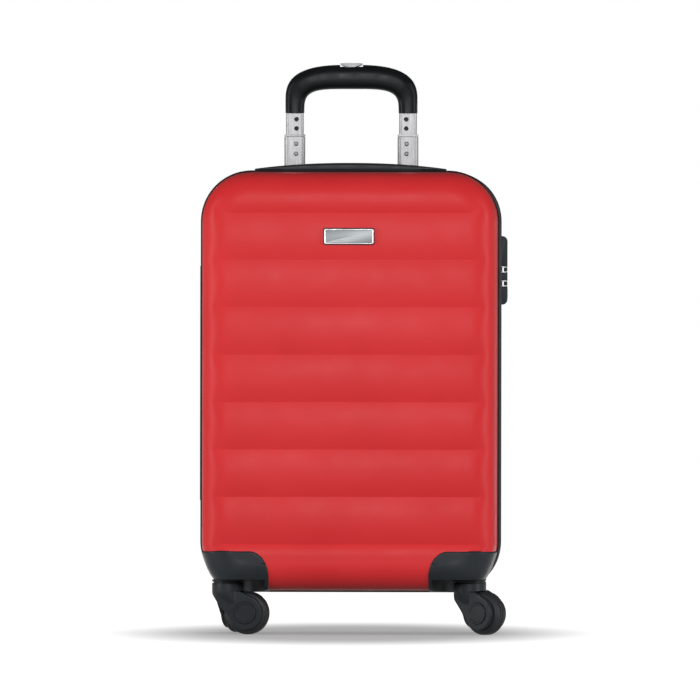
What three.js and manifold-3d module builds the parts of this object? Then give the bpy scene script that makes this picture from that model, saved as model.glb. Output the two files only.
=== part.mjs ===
// Hard shell cabin suitcase: two ribbed ABS halves that zip together and hinge on the left, a two-stage
// telescopic handle, a top carry handle, a side combination lock and four swivel casters.
// Millimetres. +X is the lock side, -Y is the front, +Z is up from the floor the wheels stand on.
import * as THREE from "three";
import { mergeVertices } from "three/addons/utils/BufferGeometryUtils.js";
import Module from "manifold-3d";

const wasm = await Module();
wasm.setup();

// ---- driving dimensions ----
const RIM_HALF_WIDTH = 172.5; // shell at the parting line
const BOTTOM = 50; // underside of the shell at the parting line
const TOP = 538.5;
const CORNER_RADIUS = 58;
const SHELL_DEPTH = 110; // parting plane to the crest of a face
const RIM_Y = 8; // the shell stops this far from the parting plane
const WALL = 2.6;
const GAP = 0.3;

const EDGE_INSET = 32; // the rounded edge between a face and the sides, seen from the front
const DRAFT = 2.5; // how far the sides lean in before the edge starts
const EDGE_START_Y = 82;
const CROWN = 2;
const RIB_PITCH = 55;
const FIRST_CREASE = 105;
const CREASES = 8;
const RIB_DEPTH = 3.2;
const END_RIB_RUN = 14; // half ribs above the last crease and below the first

const FACE_HALF_WIDTH = RIM_HALF_WIDTH - EDGE_INSET;
const FACE_CORNER = CORNER_RADIUS - EDGE_INSET;
const FACE_LOW = BOTTOM + EDGE_INSET;
const FACE_HIGH = TOP - EDGE_INSET;

const HINGE_LOW = 155; // the fabric hinge on the left side
const HINGE_HIGH = 429;
const HINGE_OUT = 176.8;
const HINGE_LEAF = 12; // width of each leaf, across the parting plane
const HINGE_CLEAR = 5; // the zip stops this far above and below the hinge

const WHEEL_RADIUS = 25;
const WHEEL_WIDTH = 18;
const TRAIL = 24; // axle behind the swivel axis
const SWIVEL_X = 140.5;
const SWIVEL_Y = 68;
const CASTER_TOP = 64; // underside of the wheel housings
const STEM_RADIUS = 18.5;
const FORK_WIDTH = 29;

const TUBE_X = 66.3;
const TUBE_Y = 89;
const TUBE_CORNER = 0.34; // corner radius of a tube, as a share of its depth
const OUTER_TUBE_TOP = 489;
const MIDDLE_TUBE_TOP = 583.3; // with the handle part way out
const COLLAR = 2.3; // plastic ring on top of a middle tube
const GRIP_BOTTOM = 608.1;
const GRIP_TOP = 665;

const LOCK_LOW = 384;
const LOCK_HIGH = 464;
const LOCK_Y = 17; // middle of the lock, on the rear half
const LOCK_OUT = 183.5;
const LOCK_IN = 167; // its back, inside the shell's wall
const LOCK_FRONT_Y = LOCK_Y - 12.6;
const LOCK_REAR_Y = LOCK_Y + 12;
const DIAL_RADIUS = 6;
const DIAL_HEIGHTS = [436, 444.5, 453];
const DIAL_AXIS = [LOCK_OUT - DIAL_RADIUS, LOCK_Y];
const PULL_LOW = 408.7; // the two notches that take the zip pulls
const PULL_HIGH = 424.9;
const PULL_X = 181.4; // the pin that a pull turns on
const NOTCH_IN = 177.4; // how far in a notch reaches
const NOTCH = 2.6; // half the height of a notch

// ---- materials ----
function paint(color, roughness, metalness = 0) {
  return new THREE.MeshStandardMaterial({ color, roughness, metalness });
}
const redShell = paint(0xc8282d, 0.45);
const blackPlastic = paint(0x26292b, 0.5);
const rubber = paint(0x1b1c1e, 0.75);
const aluminium = paint(0xc9cacc, 0.32, 1);
const satinSilver = paint(0xa9adb0, 0.35, 0.9);
const steel = paint(0x8d9093, 0.35, 1);
const blackFabric = paint(0x23252b, 0.9);
const greyLining = paint(0x3a3c42, 0.92);

// ---- solids ----
function solid(geometry) {
  const bare = geometry.index ? geometry.toNonIndexed() : geometry.clone();
  for (const name of Object.keys(bare.attributes)) {
    if (name !== "position") bare.deleteAttribute(name);
  }
  const merged = mergeVertices(bare, 1e-4);
  const triVerts = new Uint32Array(merged.index.array);
  const vertProperties = merged.attributes.position.array;
  const made = new wasm.Manifold(new wasm.Mesh({ numProp: 3, vertProperties, triVerts }));
  if (made.volume() > 0) return made;
  for (let i = 0; i < triVerts.length; i += 3) {
    [triVerts[i + 1], triVerts[i + 2]] = [triVerts[i + 2], triVerts[i + 1]];
  }
  return new wasm.Manifold(new wasm.Mesh({ numProp: 3, vertProperties, triVerts }));
}

function geometryOf(body) {
  const { numVert, numProp, vertProperties, triVerts } = body.getMesh();
  const positions = new Float32Array(numVert * 3);
  for (let i = 0; i < numVert; i++) {
    positions.set(vertProperties.subarray(i * numProp, i * numProp + 3), i * 3);
  }
  const geometry = new THREE.BufferGeometry();
  geometry.setAttribute("position", new THREE.BufferAttribute(positions, 3));
  geometry.setIndex(new THREE.BufferAttribute(new Uint32Array(triVerts), 1));
  geometry.computeVertexNormals();
  return geometry;
}

function box([x0, x1], [y0, y1], [z0, z1]) {
  const geometry = new THREE.BoxGeometry(x1 - x0, y1 - y0, z1 - z0);
  return solid(geometry.translate((x0 + x1) / 2, (y0 + y1) / 2, (z0 + z1) / 2));
}

// A cylinder along "x", "y" or "z" from low to high, centred on the other two coordinates.
function rod(axis, radius, low, high, [a, b], sides = 16) {
  const geometry = new THREE.CylinderGeometry(radius, radius, high - low, sides);
  if (axis === "x") geometry.rotateZ(Math.PI / 2).translate((low + high) / 2, a, b);
  if (axis === "y") geometry.translate(a, (low + high) / 2, b);
  if (axis === "z") geometry.rotateX(Math.PI / 2).translate(a, b, (low + high) / 2);
  return solid(geometry);
}

// A shape drawn in the X-Z plane, extruded along Y from low to high.
function frontPrism(shape, low, high, curveSegments = 4) {
  const options = { depth: high - low, bevelEnabled: false, curveSegments };
  const geometry = new THREE.ExtrudeGeometry(shape, options);
  return solid(geometry.rotateX(Math.PI / 2).translate(0, high, 0));
}

// A shape drawn in the X-Y plane, extruded along Z from low to high.
function plan(shape, low, high) {
  const options = { depth: high - low, bevelEnabled: false, curveSegments: 2 };
  return solid(new THREE.ExtrudeGeometry(shape, options).translate(0, 0, low));
}

function roundedRect(width, height, radius, x = 0, y = 0) {
  const [w, h] = [width / 2, height / 2];
  const shape = new THREE.Shape();
  shape.moveTo(x - w + radius, y - h);
  shape.lineTo(x + w - radius, y - h);
  shape.absarc(x + w - radius, y - h + radius, radius, -Math.PI / 2, 0);
  shape.lineTo(x + w, y + h - radius);
  shape.absarc(x + w - radius, y + h - radius, radius, 0, Math.PI / 2);
  shape.lineTo(x - w + radius, y + h);
  shape.absarc(x - w + radius, y + h - radius, radius, Math.PI / 2, Math.PI);
  shape.lineTo(x - w, y - h + radius);
  shape.absarc(x - w + radius, y - h + radius, radius, Math.PI, 1.5 * Math.PI);
  return shape;
}

function meshGeometry(vertices, triangles) {
  const geometry = new THREE.BufferGeometry();
  geometry.setAttribute("position", new THREE.Float32BufferAttribute(vertices.flat(), 3));
  geometry.setIndex(triangles);
  return geometry;
}

// Triangles that fill an outline, wound the same way as it.
function fill(outline) {
  const { area, triangulateShape } = THREE.ShapeUtils;
  const wound = area(outline) > 0;
  return triangulateShape(outline, []).map((face) => {
    const same = area(face.map((i) => outline[i])) > 0 === wound;
    return same ? face : [...face].reverse();
  });
}

// ---- the moulded form of a case half ----
const smooth = (low, high, x) => THREE.MathUtils.smoothstep(x, low, high);

// How far the face sinks below its crest at height z: convex ribs that meet in sharp creases.
function ribSink(z) {
  const last = FIRST_CREASE + RIB_PITCH * (CREASES - 1);
  if (z < FIRST_CREASE) return RIB_DEPTH * Math.max(0, 1 - (FIRST_CREASE - z) / END_RIB_RUN) ** 2;
  if (z > last) return RIB_DEPTH * Math.max(0, 1 - (z - last) / END_RIB_RUN) ** 2;
  const t = ((z - FIRST_CREASE) % RIB_PITCH) / RIB_PITCH;
  return RIB_DEPTH * (2 * t - 1) ** 2;
}

// Heights of the rows of points in a face. Plain forms keep only those at the corners.
function faceRows(ribbed) {
  const low = FACE_LOW + FACE_CORNER;
  const high = FACE_HIGH - FACE_CORNER;
  const arc = [22.5, 45, 67.5, 90].map((a) => FACE_CORNER * Math.sin(THREE.MathUtils.degToRad(a)));
  let rows = [...arc.map((d) => low - d), ...arc.map((d) => high + d), high];
  for (let i = 0; i < CREASES; i++) {
    const crease = FIRST_CREASE + RIB_PITCH * i;
    rows.push(crease);
    if (i < CREASES - 1) rows.push(crease + 0.25 * RIB_PITCH, crease + 0.75 * RIB_PITCH);
  }
  const isCrease = (z) => Math.abs(((z - FIRST_CREASE) / RIB_PITCH) % 1) < 1e-6;
  rows.sort((a, b) => a - b);
  const creases = rows.filter(isCrease);
  rows = rows.filter((z) => isCrease(z) || creases.every((crease) => Math.abs(crease - z) > 3));
  if (ribbed) return rows;
  const turned = (z) => z !== undefined && faceEdge(z).angle !== 0;
  return rows.filter((z, i) => turned(rows[i - 1]) || turned(z) || turned(rows[i + 1]));
}

// Outward direction, as an angle from +X, and half width of the face outline at height z.
function faceEdge(z) {
  const low = FACE_LOW + FACE_CORNER;
  const high = FACE_HIGH - FACE_CORNER;
  const over = z > high ? z - high : z < low ? z - low : 0;
  const angle = Math.asin(THREE.MathUtils.clamp(over / FACE_CORNER, -1, 1));
  return { angle, half: FACE_HALF_WIDTH - FACE_CORNER + FACE_CORNER * Math.cos(angle) };
}

// One half of the case as a closed solid. side is -1 for the front and 1 for the rear; grow moves every wall
// out; rimY is where it stops; ribbed forms have the creases and plain ones sit behind them.
function halfForm(side, grow, rimY, ribbed) {
  const rows = faceRows(ribbed);
  const columns = ribbed ? 4 : 2;
  const sinkOf = (z) => (ribbed ? ribSink(z) : grow < 0 ? RIB_DEPTH : 0);
  const crown = (x) => CROWN * (1 - (x / FACE_HALF_WIDTH) ** 2);
  const reach = EDGE_INSET - DRAFT + grow;
  const rise = SHELL_DEPTH - CROWN - EDGE_START_Y + grow;
  const vertices = [];
  const triangles = [];
  const quad = (a, b, c, d) => triangles.push(a, b, c, a, c, d);
  const add = (x, y, z) => vertices.push([x, side * y, z]) - 1;

  const grid = rows.map((z) => {
    const { half } = faceEdge(z);
    return Array.from({ length: columns + 1 }, (_, i) => {
      const x = half * ((2 * i) / columns - 1);
      return add(x, EDGE_START_Y + rise + crown(x) - sinkOf(z), z);
    });
  });
  const last = rows.length - 1;
  for (let j = 0; j < last; j++) {
    for (let i = 0; i < columns; i++) quad(grid[j][i], grid[j][i + 1], grid[j + 1][i + 1], grid[j + 1][i]);
  }

  // The face's border, anticlockwise, with the direction that the sides leave it in.
  const border = [];
  for (let i = 1; i < columns; i++) border.push([grid[0][i], -Math.PI / 2]);
  for (let j = 0; j <= last; j++) border.push([grid[j][columns], faceEdge(rows[j]).angle]);
  for (let i = columns - 1; i > 0; i--) border.push([grid[last][i], Math.PI / 2]);
  for (let j = last; j >= 0; j--) border.push([grid[j][0], Math.PI - faceEdge(rows[j]).angle]);

  const levels = (ribbed ? [62, 36, 10] : [45, 8]).map((a) => THREE.MathUtils.degToRad(a));
  let ring = border.map(([index]) => index);
  const join = (next) => {
    next.forEach((_, k) => {
      const n = (k + 1) % next.length;
      quad(ring[k], next[k], next[n], ring[n]);
    });
    ring = next;
  };
  for (const angle of levels) {
    const fade = smooth(0.5, 1.2, angle);
    const out = reach * Math.cos(angle);
    join(
      border.map(([index, way]) => {
        const [x, , z] = vertices[index];
        const y = EDGE_START_Y + (rise + crown(x)) * Math.sin(angle) - sinkOf(z) * fade;
        return add(x + out * Math.cos(way), y, z + out * Math.sin(way));
      }),
    );
  }
  join(
    border.map(([index, way]) => {
      const [x, , z] = vertices[index];
      return add(x + (reach + DRAFT) * Math.cos(way), rimY, z + (reach + DRAFT) * Math.sin(way));
    }),
  );
  const flat = ring.map((index) => new THREE.Vector2(vertices[index][0], vertices[index][2]));
  for (const [a, b, c] of fill(flat)) triangles.push(ring[a], ring[c], ring[b]);
  return solid(meshGeometry(vertices, triangles));
}

// ---- strips that follow the rim ----
// The rim's outline as points with their outward normals; open leaves out the hinge stretch on the left.
function rimPath(open) {
  const right = faceRows(false).map((z) => {
    const { angle, half } = faceEdge(z);
    const [nx, nz] = [Math.cos(angle), Math.sin(angle)];
    return { x: half + EDGE_INSET * nx, z: z + EDGE_INSET * nz, nx, nz };
  });
  const left = right.map((p) => ({ ...p, x: -p.x, nx: -p.nx })).reverse();
  if (!open) return [...right, ...left];
  const end = (z) => ({ x: -RIM_HALF_WIDTH, z, nx: -1, nz: 0 });
  const [stop, start] = [HINGE_LOW - HINGE_CLEAR, HINGE_HIGH + HINGE_CLEAR];
  const low = left.filter((p) => p.z < stop);
  const high = left.filter((p) => p.z > start);
  return [end(stop), ...low, ...right, ...high, end(start)];
}

// Sweeps a section, given as [outward, y] points, along the rim.
function rimStrip(section, open) {
  const path = rimPath(open);
  const count = section.length;
  const vertices = path.flatMap(({ x, z, nx, nz }) =>
    section.map(([out, y]) => [x + nx * out, y, z + nz * out]),
  );
  const triangles = [];
  const spans = open ? path.length - 1 : path.length;
  for (let k = 0; k < spans; k++) {
    const [here, next] = [k * count, ((k + 1) % path.length) * count];
    for (let i = 0; i < count; i++) {
      const n = (i + 1) % count;
      triangles.push(here + i, next + i, next + n, here + i, next + n, here + n);
    }
  }
  if (open) {
    const flat = section.map(([out, y]) => new THREE.Vector2(out, y));
    const end = (path.length - 1) * count;
    for (const [a, b, c] of fill(flat)) {
      triangles.push(a, b, c, end + a, end + c, end + b);
    }
  }
  return solid(meshGeometry(vertices, triangles));
}

const trimSection = (side) =>
  [
    [-3.2, 7.7],
    [0.4, 7.7],
    [0.4, 13],
    [2.3, 13],
    [3, 11],
    [3, 6],
    [2, 4.2],
    [-3.2, 4.2],
  ].map(([out, y]) => [out, side * y]);
const tapeSection = (side) =>
  [
    [-4.9, 13],
    [-3.6, 13],
    [-3.6, 0.5],
    [-4.9, 0.5],
  ].map(([out, y]) => [out, side * y]);
const coilSection = (side) =>
  [
    [-3.2, 3.6],
    [-0.2, 3.2],
    [0.8, 1.9],
    [0.3, 0.2],
    [-3.2, 0.2],
  ].map(([out, y]) => [out, side * y]);

// ---- scene graph helpers ----
const sides = [
  ["left", -1],
  ["right", 1],
];
const suitcase = new THREE.Group();
function place(name, body, material, parent = suitcase) {
  const mesh = new THREE.Mesh(geometryOf(body), material);
  mesh.name = name;
  parent.add(mesh);
  return mesh;
}

// ---- wheel housings ----
const HOUSING_IN_X = 92.5; // the housing runs from here out to the corner
const HOUSING_IN_Y = 19;
const HOUSING_TOP = 97;
const HOUSING_ROUND = [22.5, 30]; // its inner upper corner, a quarter of an ellipse: width and height
const HOUSING_PROUD = 1.4; // how far the housings stand out from the shell
const WELL_RADIUS = 43.5;
const FLOOR = 4; // plate that the caster hangs from
const PIN_HOLE = 4.4;
const [BEYOND_X, BEYOND_Y, BELOW] = [190, 130, 40]; // just past the case's sides, faces and underside

// The span from low to high on the positive side, or its mirror image.
const mirrored = (sign, low, high) => (sign > 0 ? [low, high] : [-high, -low]);

// The corner of the case that a housing takes over. sx and sy say which corner.
function housingRegion(sx, sy, grow) {
  const inner = HOUSING_IN_X - grow;
  const top = HOUSING_TOP + grow;
  const [across, down] = HOUSING_ROUND;
  const shape = new THREE.Shape();
  shape.moveTo(sx * BEYOND_X, BELOW);
  shape.lineTo(sx * BEYOND_X, top);
  for (let i = 0; i <= 5; i++) {
    const a = (Math.PI / 10) * i;
    shape.lineTo(sx * (inner + across * (1 - Math.sin(a))), top - down * (1 - Math.cos(a)));
  }
  shape.lineTo(sx * (inner - 1.5), BELOW);
  return frontPrism(shape, ...mirrored(sy, HOUSING_IN_Y - grow, BEYOND_Y));
}

function wheelHousing(sx, sy, outerForm, innerForm) {
  const [cx, cy] = [sx * SWIVEL_X, sy * SWIVEL_Y];
  const region = housingRegion(sx, sy, 0);
  const skin = outerForm.intersect(region).subtract(innerForm);
  const wall = WELL_RADIUS + 3;
  const across = (from) => mirrored(sx, SWIVEL_X - from, BEYOND_X);
  const along = (from) => mirrored(sy, SWIVEL_Y - from, BEYOND_Y);
  const wallZ = [BELOW, CASTER_TOP + FLOOR];
  const wellWall = rod("z", wall, ...wallZ, [cx, cy], 20).add(box(across(wall), along(0), wallZ));
  const wellZ = [BELOW - 10, CASTER_TOP];
  const well = rod("z", WELL_RADIUS, ...wellZ, [cx, cy], 20)
    .add(box(across(WELL_RADIUS), along(0), wellZ))
    .add(box(across(0), along(WELL_RADIUS), wellZ));
  return skin
    .add(wellWall.intersect(outerForm).intersect(region))
    .subtract(well)
    .subtract(rod("z", PIN_HOLE, CASTER_TOP - 10, CASTER_TOP + FLOOR + 10, [cx, cy]));
}

// ---- case halves ----
const LINING_GAP = 1.2; // between a wall and the lining inside it
const LINING_CLOTH = 1.1; // thickness of the lining

// The lining of a half: outside and inside forms, stepped in over the wheel wells and the handle tubes.
function lining(side, cuts) {
  const inset = WALL + LINING_GAP;
  let outside = halfForm(side, -inset, RIM_Y + 5.4, false);
  let inside = halfForm(side, -inset - LINING_CLOTH, RIM_Y, false);
  for (const cut of cuts) outside = outside.subtract(cut);
  const well = (sx, grow) =>
    box(
      mirrored(sx, HOUSING_IN_X - 3 - grow, BEYOND_X),
      mirrored(side, HOUSING_IN_Y - 3 - grow, BEYOND_Y),
      [BELOW, HOUSING_TOP + grow],
    );
  for (const sx of [-1, 1]) {
    outside = outside.subtract(well(sx, 1));
    inside = inside.subtract(well(sx, 1 + LINING_CLOTH));
  }
  if (side > 0) {
    const step = (grow) => box([-90 - grow, 90 + grow], [TUBE_Y - 17.5 - grow, BEYOND_Y], [BELOW, TOP]);
    outside = outside.subtract(step(0));
    inside = inside.subtract(step(LINING_CLOTH));
  }
  return outside.subtract(inside);
}

function caseHalf(side, name, cuts) {
  const outer = halfForm(side, 0, RIM_Y, true);
  const inner = halfForm(side, -WALL, RIM_Y - 4, true);
  const plainOuter = halfForm(side, HOUSING_PROUD, HOUSING_IN_Y - 4, false);
  const plainInner = halfForm(side, -WALL, RIM_Y - 4, false);
  const cutFrom = (body) => cuts.reduce((whole, cut) => whole.subtract(cut), body);
  let shell = cutFrom(outer.subtract(inner));
  for (const [word, sx] of sides) {
    shell = shell.subtract(housingRegion(sx, side, GAP));
    const housing = wheelHousing(sx, side, plainOuter, plainInner);
    place(`wheel_housing_${name}_${word}`, housing, blackPlastic);
  }
  place(`${name}_shell`, shell, redShell);
  place(`${name}_edge_trim`, cutFrom(rimStrip(trimSection(side), false)), blackPlastic);
  place(`${name}_zip_tape`, cutFrom(rimStrip(tapeSection(side), true)), blackFabric);
  place(`${name}_zip_coil`, cutFrom(rimStrip(coilSection(side), true)), blackPlastic);
  place(`${name}_lining`, lining(side, cuts), greyLining);
  const leaf = box([-HINGE_OUT, -HINGE_OUT + 1], mirrored(side, 0.4, HINGE_LEAF), [HINGE_LOW, HINGE_HIGH]);
  place(`hinge_leaf_${name}`, leaf, blackFabric);
}

// ---- handle dock in the rear half ----
const DOCK_HALF_WIDTH = 87;
const DOCK_BOTTOM = 484;
const DOCK_FLOOR = 512;
const DOCK_LEDGE = 502; // lower still beside the tubes, where the grip's inner corners come down
const DOCK_FRONT_Y = 71.5;
const ABOVE = 570; // past the top of the case

function handleDock() {
  const across = [-DOCK_HALF_WIDTH, DOCK_HALF_WIDTH];
  const block = box(across, [DOCK_FRONT_Y, 113], [DOCK_BOTTOM, ABOVE]);
  const tray = plan(roundedRect(170, 33, 6, 0, TUBE_Y), DOCK_FLOOR, ABOVE);
  let dock = block.intersect(halfForm(1, 0.6, 0, false)).subtract(tray);
  for (const x of [-TUBE_X, TUBE_X]) {
    dock = dock.subtract(plan(roundedRect(28, 22, 8, x, TUBE_Y), OUTER_TUBE_TOP - 1, ABOVE));
    dock = dock.subtract(plan(roundedRect(36, 24, 8, x - 4 * Math.sign(x), TUBE_Y), DOCK_LEDGE, ABOVE));
    dock = dock.subtract(tubeSocket(x, DOCK_BOTTOM - 10, OUTER_TUBE_TOP + GAP));
  }
  return dock;
}

// ---- telescopic tubes: width, depth and wall ----
const OUTER_TUBE = [29, 18.4, 1.2];
const MIDDLE_TUBE = [24.4, 14.4, 1];
const INNER_TUBE = [20.8, 10.8, 1];

function tube([width, depth, wall], low, high, x) {
  const corner = depth * TUBE_CORNER;
  const outside = plan(roundedRect(width, depth, corner, x, TUBE_Y), low, high);
  const hollow = roundedRect(width - 2 * wall, depth - 2 * wall, corner - wall, x, TUBE_Y);
  return outside.subtract(plan(hollow, low - 5, high + 5));
}

// The hole that an outer tube stands in.
function tubeSocket(x, low, high) {
  const [width, depth] = OUTER_TUBE;
  return plan(roundedRect(width + 2 * GAP, depth + 2 * GAP, 6.2, x, TUBE_Y), low, high);
}

// ---- rear half: everything that stands still ----
const CARRY_X = 100; // the carry handle's posts
const CARRY_Y = 34;
const BUSH_RADIUS = 4.9; // round each post
const lockHole = box(
  [LOCK_IN - 7, BEYOND_X],
  [LOCK_FRONT_Y - GAP, LOCK_REAR_Y + GAP],
  [LOCK_LOW - GAP, LOCK_HIGH + GAP],
);
const dockHole = box(
  [-DOCK_HALF_WIDTH - GAP, DOCK_HALF_WIDTH + GAP],
  [DOCK_FRONT_Y - GAP, BEYOND_Y],
  [DOCK_BOTTOM - GAP, ABOVE],
);
const carryHoles = [-1, 1].map((s) => rod("z", BUSH_RADIUS + GAP, 520, ABOVE, [s * CARRY_X, CARRY_Y], 12));
caseHalf(1, "rear", [lockHole, dockHole, ...carryHoles]);
caseHalf(-1, "front", []);

const OUTER_TUBE_BOTTOM = 84;
place("handle_dock", handleDock(), blackPlastic);
for (const [word, s] of sides) {
  const outerTube = tube(OUTER_TUBE, OUTER_TUBE_BOTTOM, OUTER_TUBE_TOP, s * TUBE_X);
  place(`outer_tube_${word}`, outerTube, aluminium);
}

// The bracket that holds the outer tubes' feet, cut away between them.
function baseBracket() {
  const block = box([-90, 90], [TUBE_Y - 15, TUBE_Y + 8], [70, 100]);
  const relief = box([-50, 50], [TUBE_Y - 12, TUBE_Y + 20], [60, 120]);
  return [-TUBE_X, TUBE_X].reduce(
    (whole, x) => whole.subtract(tubeSocket(x, OUTER_TUBE_BOTTOM - GAP, 120)),
    block.subtract(relief),
  );
}
place("handle_base_bracket", baseBracket(), blackPlastic);

// ---- packing straps in the rear half ----
const STRAP_ENDS = [-150, 150];
const [STRAP_LOW, STRAP_HIGH] = [129, 461];
const [STRAP_WIDTH, STRAP_THICKNESS] = [25, 1.4];

function strap(fromZ, toZ, y) {
  const [fromX, toX] = STRAP_ENDS;
  const run = new THREE.Vector2(toX - fromX, toZ - fromZ);
  const geometry = new THREE.BoxGeometry(run.length(), STRAP_THICKNESS, STRAP_WIDTH);
  return solid(geometry.rotateY(-run.angle()).translate(0, y, (fromZ + toZ) / 2));
}
const crossing = (STRAP_LOW + STRAP_HIGH) / 2;
place("packing_strap_a", strap(STRAP_LOW, STRAP_HIGH, 5), blackFabric);
place("packing_strap_b", strap(STRAP_HIGH, STRAP_LOW, 2.6), blackFabric);
place("strap_buckle", box([-26, 26], [6.2, 14], [crossing - 16, crossing + 16]), blackPlastic);

// ---- badge, in the middle of the seventh rib ----
const badgeZ = FIRST_CREASE + 6.5 * RIB_PITCH;
const badge = frontPrism(roundedRect(57.4, 17.8, 1.6, 0, badgeZ), -112.4, -110.2, 2);
place("badge_plate", badge, satinSilver);

// ---- carry handle on top of the rear half ----
const CARRY_CREST = 549.4;
const CARRY_DROP = 7; // from the crest down to the ends
const CARRY_REACH = 112;
const CARRY_FOOT = 540.2; // top of the mounts
const CARRY_HALF_DEPTH = 13;
const POST_RADIUS = 3.6;

function carryHandle() {
  const shape = new THREE.Shape();
  const bow = (x) => (Math.abs(x) / CARRY_REACH) ** 2.2;
  const steps = 14;
  const xs = Array.from({ length: steps + 1 }, (_, i) => CARRY_REACH * ((2 * i) / steps - 1));
  shape.moveTo(xs[0], CARRY_CREST - CARRY_DROP);
  for (const x of xs.slice(1)) shape.lineTo(x, CARRY_CREST - CARRY_DROP * bow(x));
  for (const x of [...xs].reverse()) shape.lineTo(x, CARRY_FOOT + 0.4 + 1.8 * (1 - bow(x)));
  const bar = frontPrism(shape, CARRY_Y - CARRY_HALF_DEPTH, CARRY_Y + CARRY_HALF_DEPTH);
  const post = (s) => rod("z", POST_RADIUS, 510, 541.6, [s * CARRY_X, CARRY_Y], 10);
  return bar.add(post(-1)).add(post(1));
}

function carryMount(s) {
  const footPlan = roundedRect(22, 2 * CARRY_HALF_DEPTH, 6, s * (CARRY_X - 2), CARRY_Y);
  const foot = plan(footPlan, TOP + 0.4, CARRY_FOOT);
  const bush = rod("z", BUSH_RADIUS, 520, CARRY_FOOT - 0.2, [s * CARRY_X, CARRY_Y], 10);
  return foot.add(bush).subtract(rod("z", POST_RADIUS + 0.4, 500, ABOVE, [s * CARRY_X, CARRY_Y], 12));
}
place("carry_handle", carryHandle(), blackPlastic);
for (const [word, s] of sides) place(`carry_mount_${word}`, carryMount(s), blackPlastic);

// ---- combination lock ----
const SPINDLE_RADIUS = 1.3;

function lockBody() {
  const shape = new THREE.Shape();
  const [low, high, out] = [LOCK_LOW, LOCK_HIGH, LOCK_OUT];
  shape.moveTo(LOCK_IN, low);
  shape.lineTo(out - 5, low);
  shape.quadraticCurveTo(out, low, out, low + 7);
  for (const z of [PULL_LOW, PULL_HIGH]) {
    shape.lineTo(out, z - NOTCH);
    shape.lineTo(NOTCH_IN, z - NOTCH);
    shape.lineTo(NOTCH_IN, z + NOTCH);
    shape.lineTo(out, z + NOTCH);
  }
  shape.lineTo(out, high - 5);
  shape.quadraticCurveTo(out, high, out - 4, high);
  shape.lineTo(LOCK_IN, high);
  let body = frontPrism(shape, LOCK_FRONT_Y, LOCK_REAR_Y, 3);
  for (const z of DIAL_HEIGHTS) {
    body = body.subtract(rod("z", DIAL_RADIUS + 0.5, z - 3, z + 3, DIAL_AXIS, 14));
  }
  const spindleHole = rod("z", SPINDLE_RADIUS + GAP, DIAL_HEIGHTS[0] - 6, DIAL_HEIGHTS[2] + 6, DIAL_AXIS, 8);
  const slideTrack = box([LOCK_OUT - 2.4, BEYOND_X], [LOCK_Y - 5, LOCK_Y + 5], [387.5, 402.5]);
  return body.subtract(spindleHole).subtract(slideTrack);
}
place("lock_body", lockBody(), blackPlastic);
DIAL_HEIGHTS.forEach((z, i) => {
  const dial = rod("z", DIAL_RADIUS, z - 2.6, z + 2.6, DIAL_AXIS, 14);
  const bore = rod("z", SPINDLE_RADIUS + 0.6, z - 5, z + 5, DIAL_AXIS, 8);
  place(`lock_dial_${i + 1}`, dial.subtract(bore), blackPlastic);
});
const spindle = rod("z", SPINDLE_RADIUS, DIAL_HEIGHTS[0] - 5.5, DIAL_HEIGHTS[2] + 5.5, DIAL_AXIS, 8);
place("lock_spindle", spindle, steel);
const slide = box([LOCK_OUT - 2, LOCK_OUT + 0.4], [LOCK_Y - 4.5, LOCK_Y + 4.5], [391.5, 402]);
place("lock_release", slide, satinSilver);

// ---- zip sliders, with their pulls plugged into the lock ----
for (const [word, z] of [
  ["lower", PULL_LOW],
  ["upper", PULL_HIGH],
]) {
  const foot = box([173.8, 175.6], [-3.9, 3.9], [z - 5, z + 5]);
  const bridge = box([174.8, PULL_X + 0.9], [-1.1, 1.1], [z - 3.6, z + 3.6])
    .subtract(box([176.6, BEYOND_X], [-2, 2], [z - 2.5, z + 2.5]))
    .add(rod("z", 0.9, z - 3, z + 3, [PULL_X, 0], 8));
  place(`zip_slider_${word}`, foot.add(bridge), steel);
  const tab = box([PULL_X - 0.7, PULL_X + 0.7], [0, 25], [z - 2.2, z + 2.2])
    .add(rod("z", 2.1, z - 2.2, z + 2.2, [PULL_X, 0], 12))
    .subtract(rod("z", 1.2, z - 5, z + 5, [PULL_X, 0], 10));
  place(`zip_pull_${word}`, tab, blackPlastic);
}

// ---- telescopic handle ----
// The hole that an inner tube goes through.
function innerHole(x, low, high) {
  const [width, depth] = INNER_TUBE;
  return plan(roundedRect(width + 2 * GAP, depth + 2 * GAP, 3.9, x, TUBE_Y), low, high);
}

for (const [word, s] of sides) {
  const x = s * TUBE_X;
  const middleTube = tube(MIDDLE_TUBE, 297, MIDDLE_TUBE_TOP - COLLAR - GAP, x);
  place(`middle_tube_${word}`, middleTube, aluminium);
  const [width, depth] = MIDDLE_TUBE;
  const ring = plan(roundedRect(width, depth, 4.9, x, TUBE_Y), MIDDLE_TUBE_TOP - COLLAR, MIDDLE_TUBE_TOP);
  const collar = ring.subtract(innerHole(x, MIDDLE_TUBE_TOP - 9, MIDDLE_TUBE_TOP + 9));
  place(`middle_collar_${word}`, collar, blackPlastic);
  place(`inner_tube_${word}`, tube(INNER_TUBE, 363, GRIP_BOTTOM + 12, x), aluminium);
}

const RELEASE_Z = GRIP_TOP - 23.4; // underside of the yoke's bar
const YOKE_ROD = 2.2;
const BUTTON_STEM = 2.6;

// The arch's outer and inner outlines: superellipses that spring from the legs.
const GRIP_OUTER = { reach: 77.4, spring: 622, top: GRIP_TOP, power: 2.85 };
const GRIP_INNER = { reach: 55.2, spring: 606, top: GRIP_TOP - 28.6, power: 4.2 };

function archPoint({ reach, spring, top, power }, degrees) {
  const angle = THREE.MathUtils.degToRad(degrees);
  const [across, up] = [Math.cos(angle), Math.sin(angle)].map((v) => Math.max(v, 0) ** (2 / power));
  return [-reach * across, spring + (top - spring) * up];
}

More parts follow.
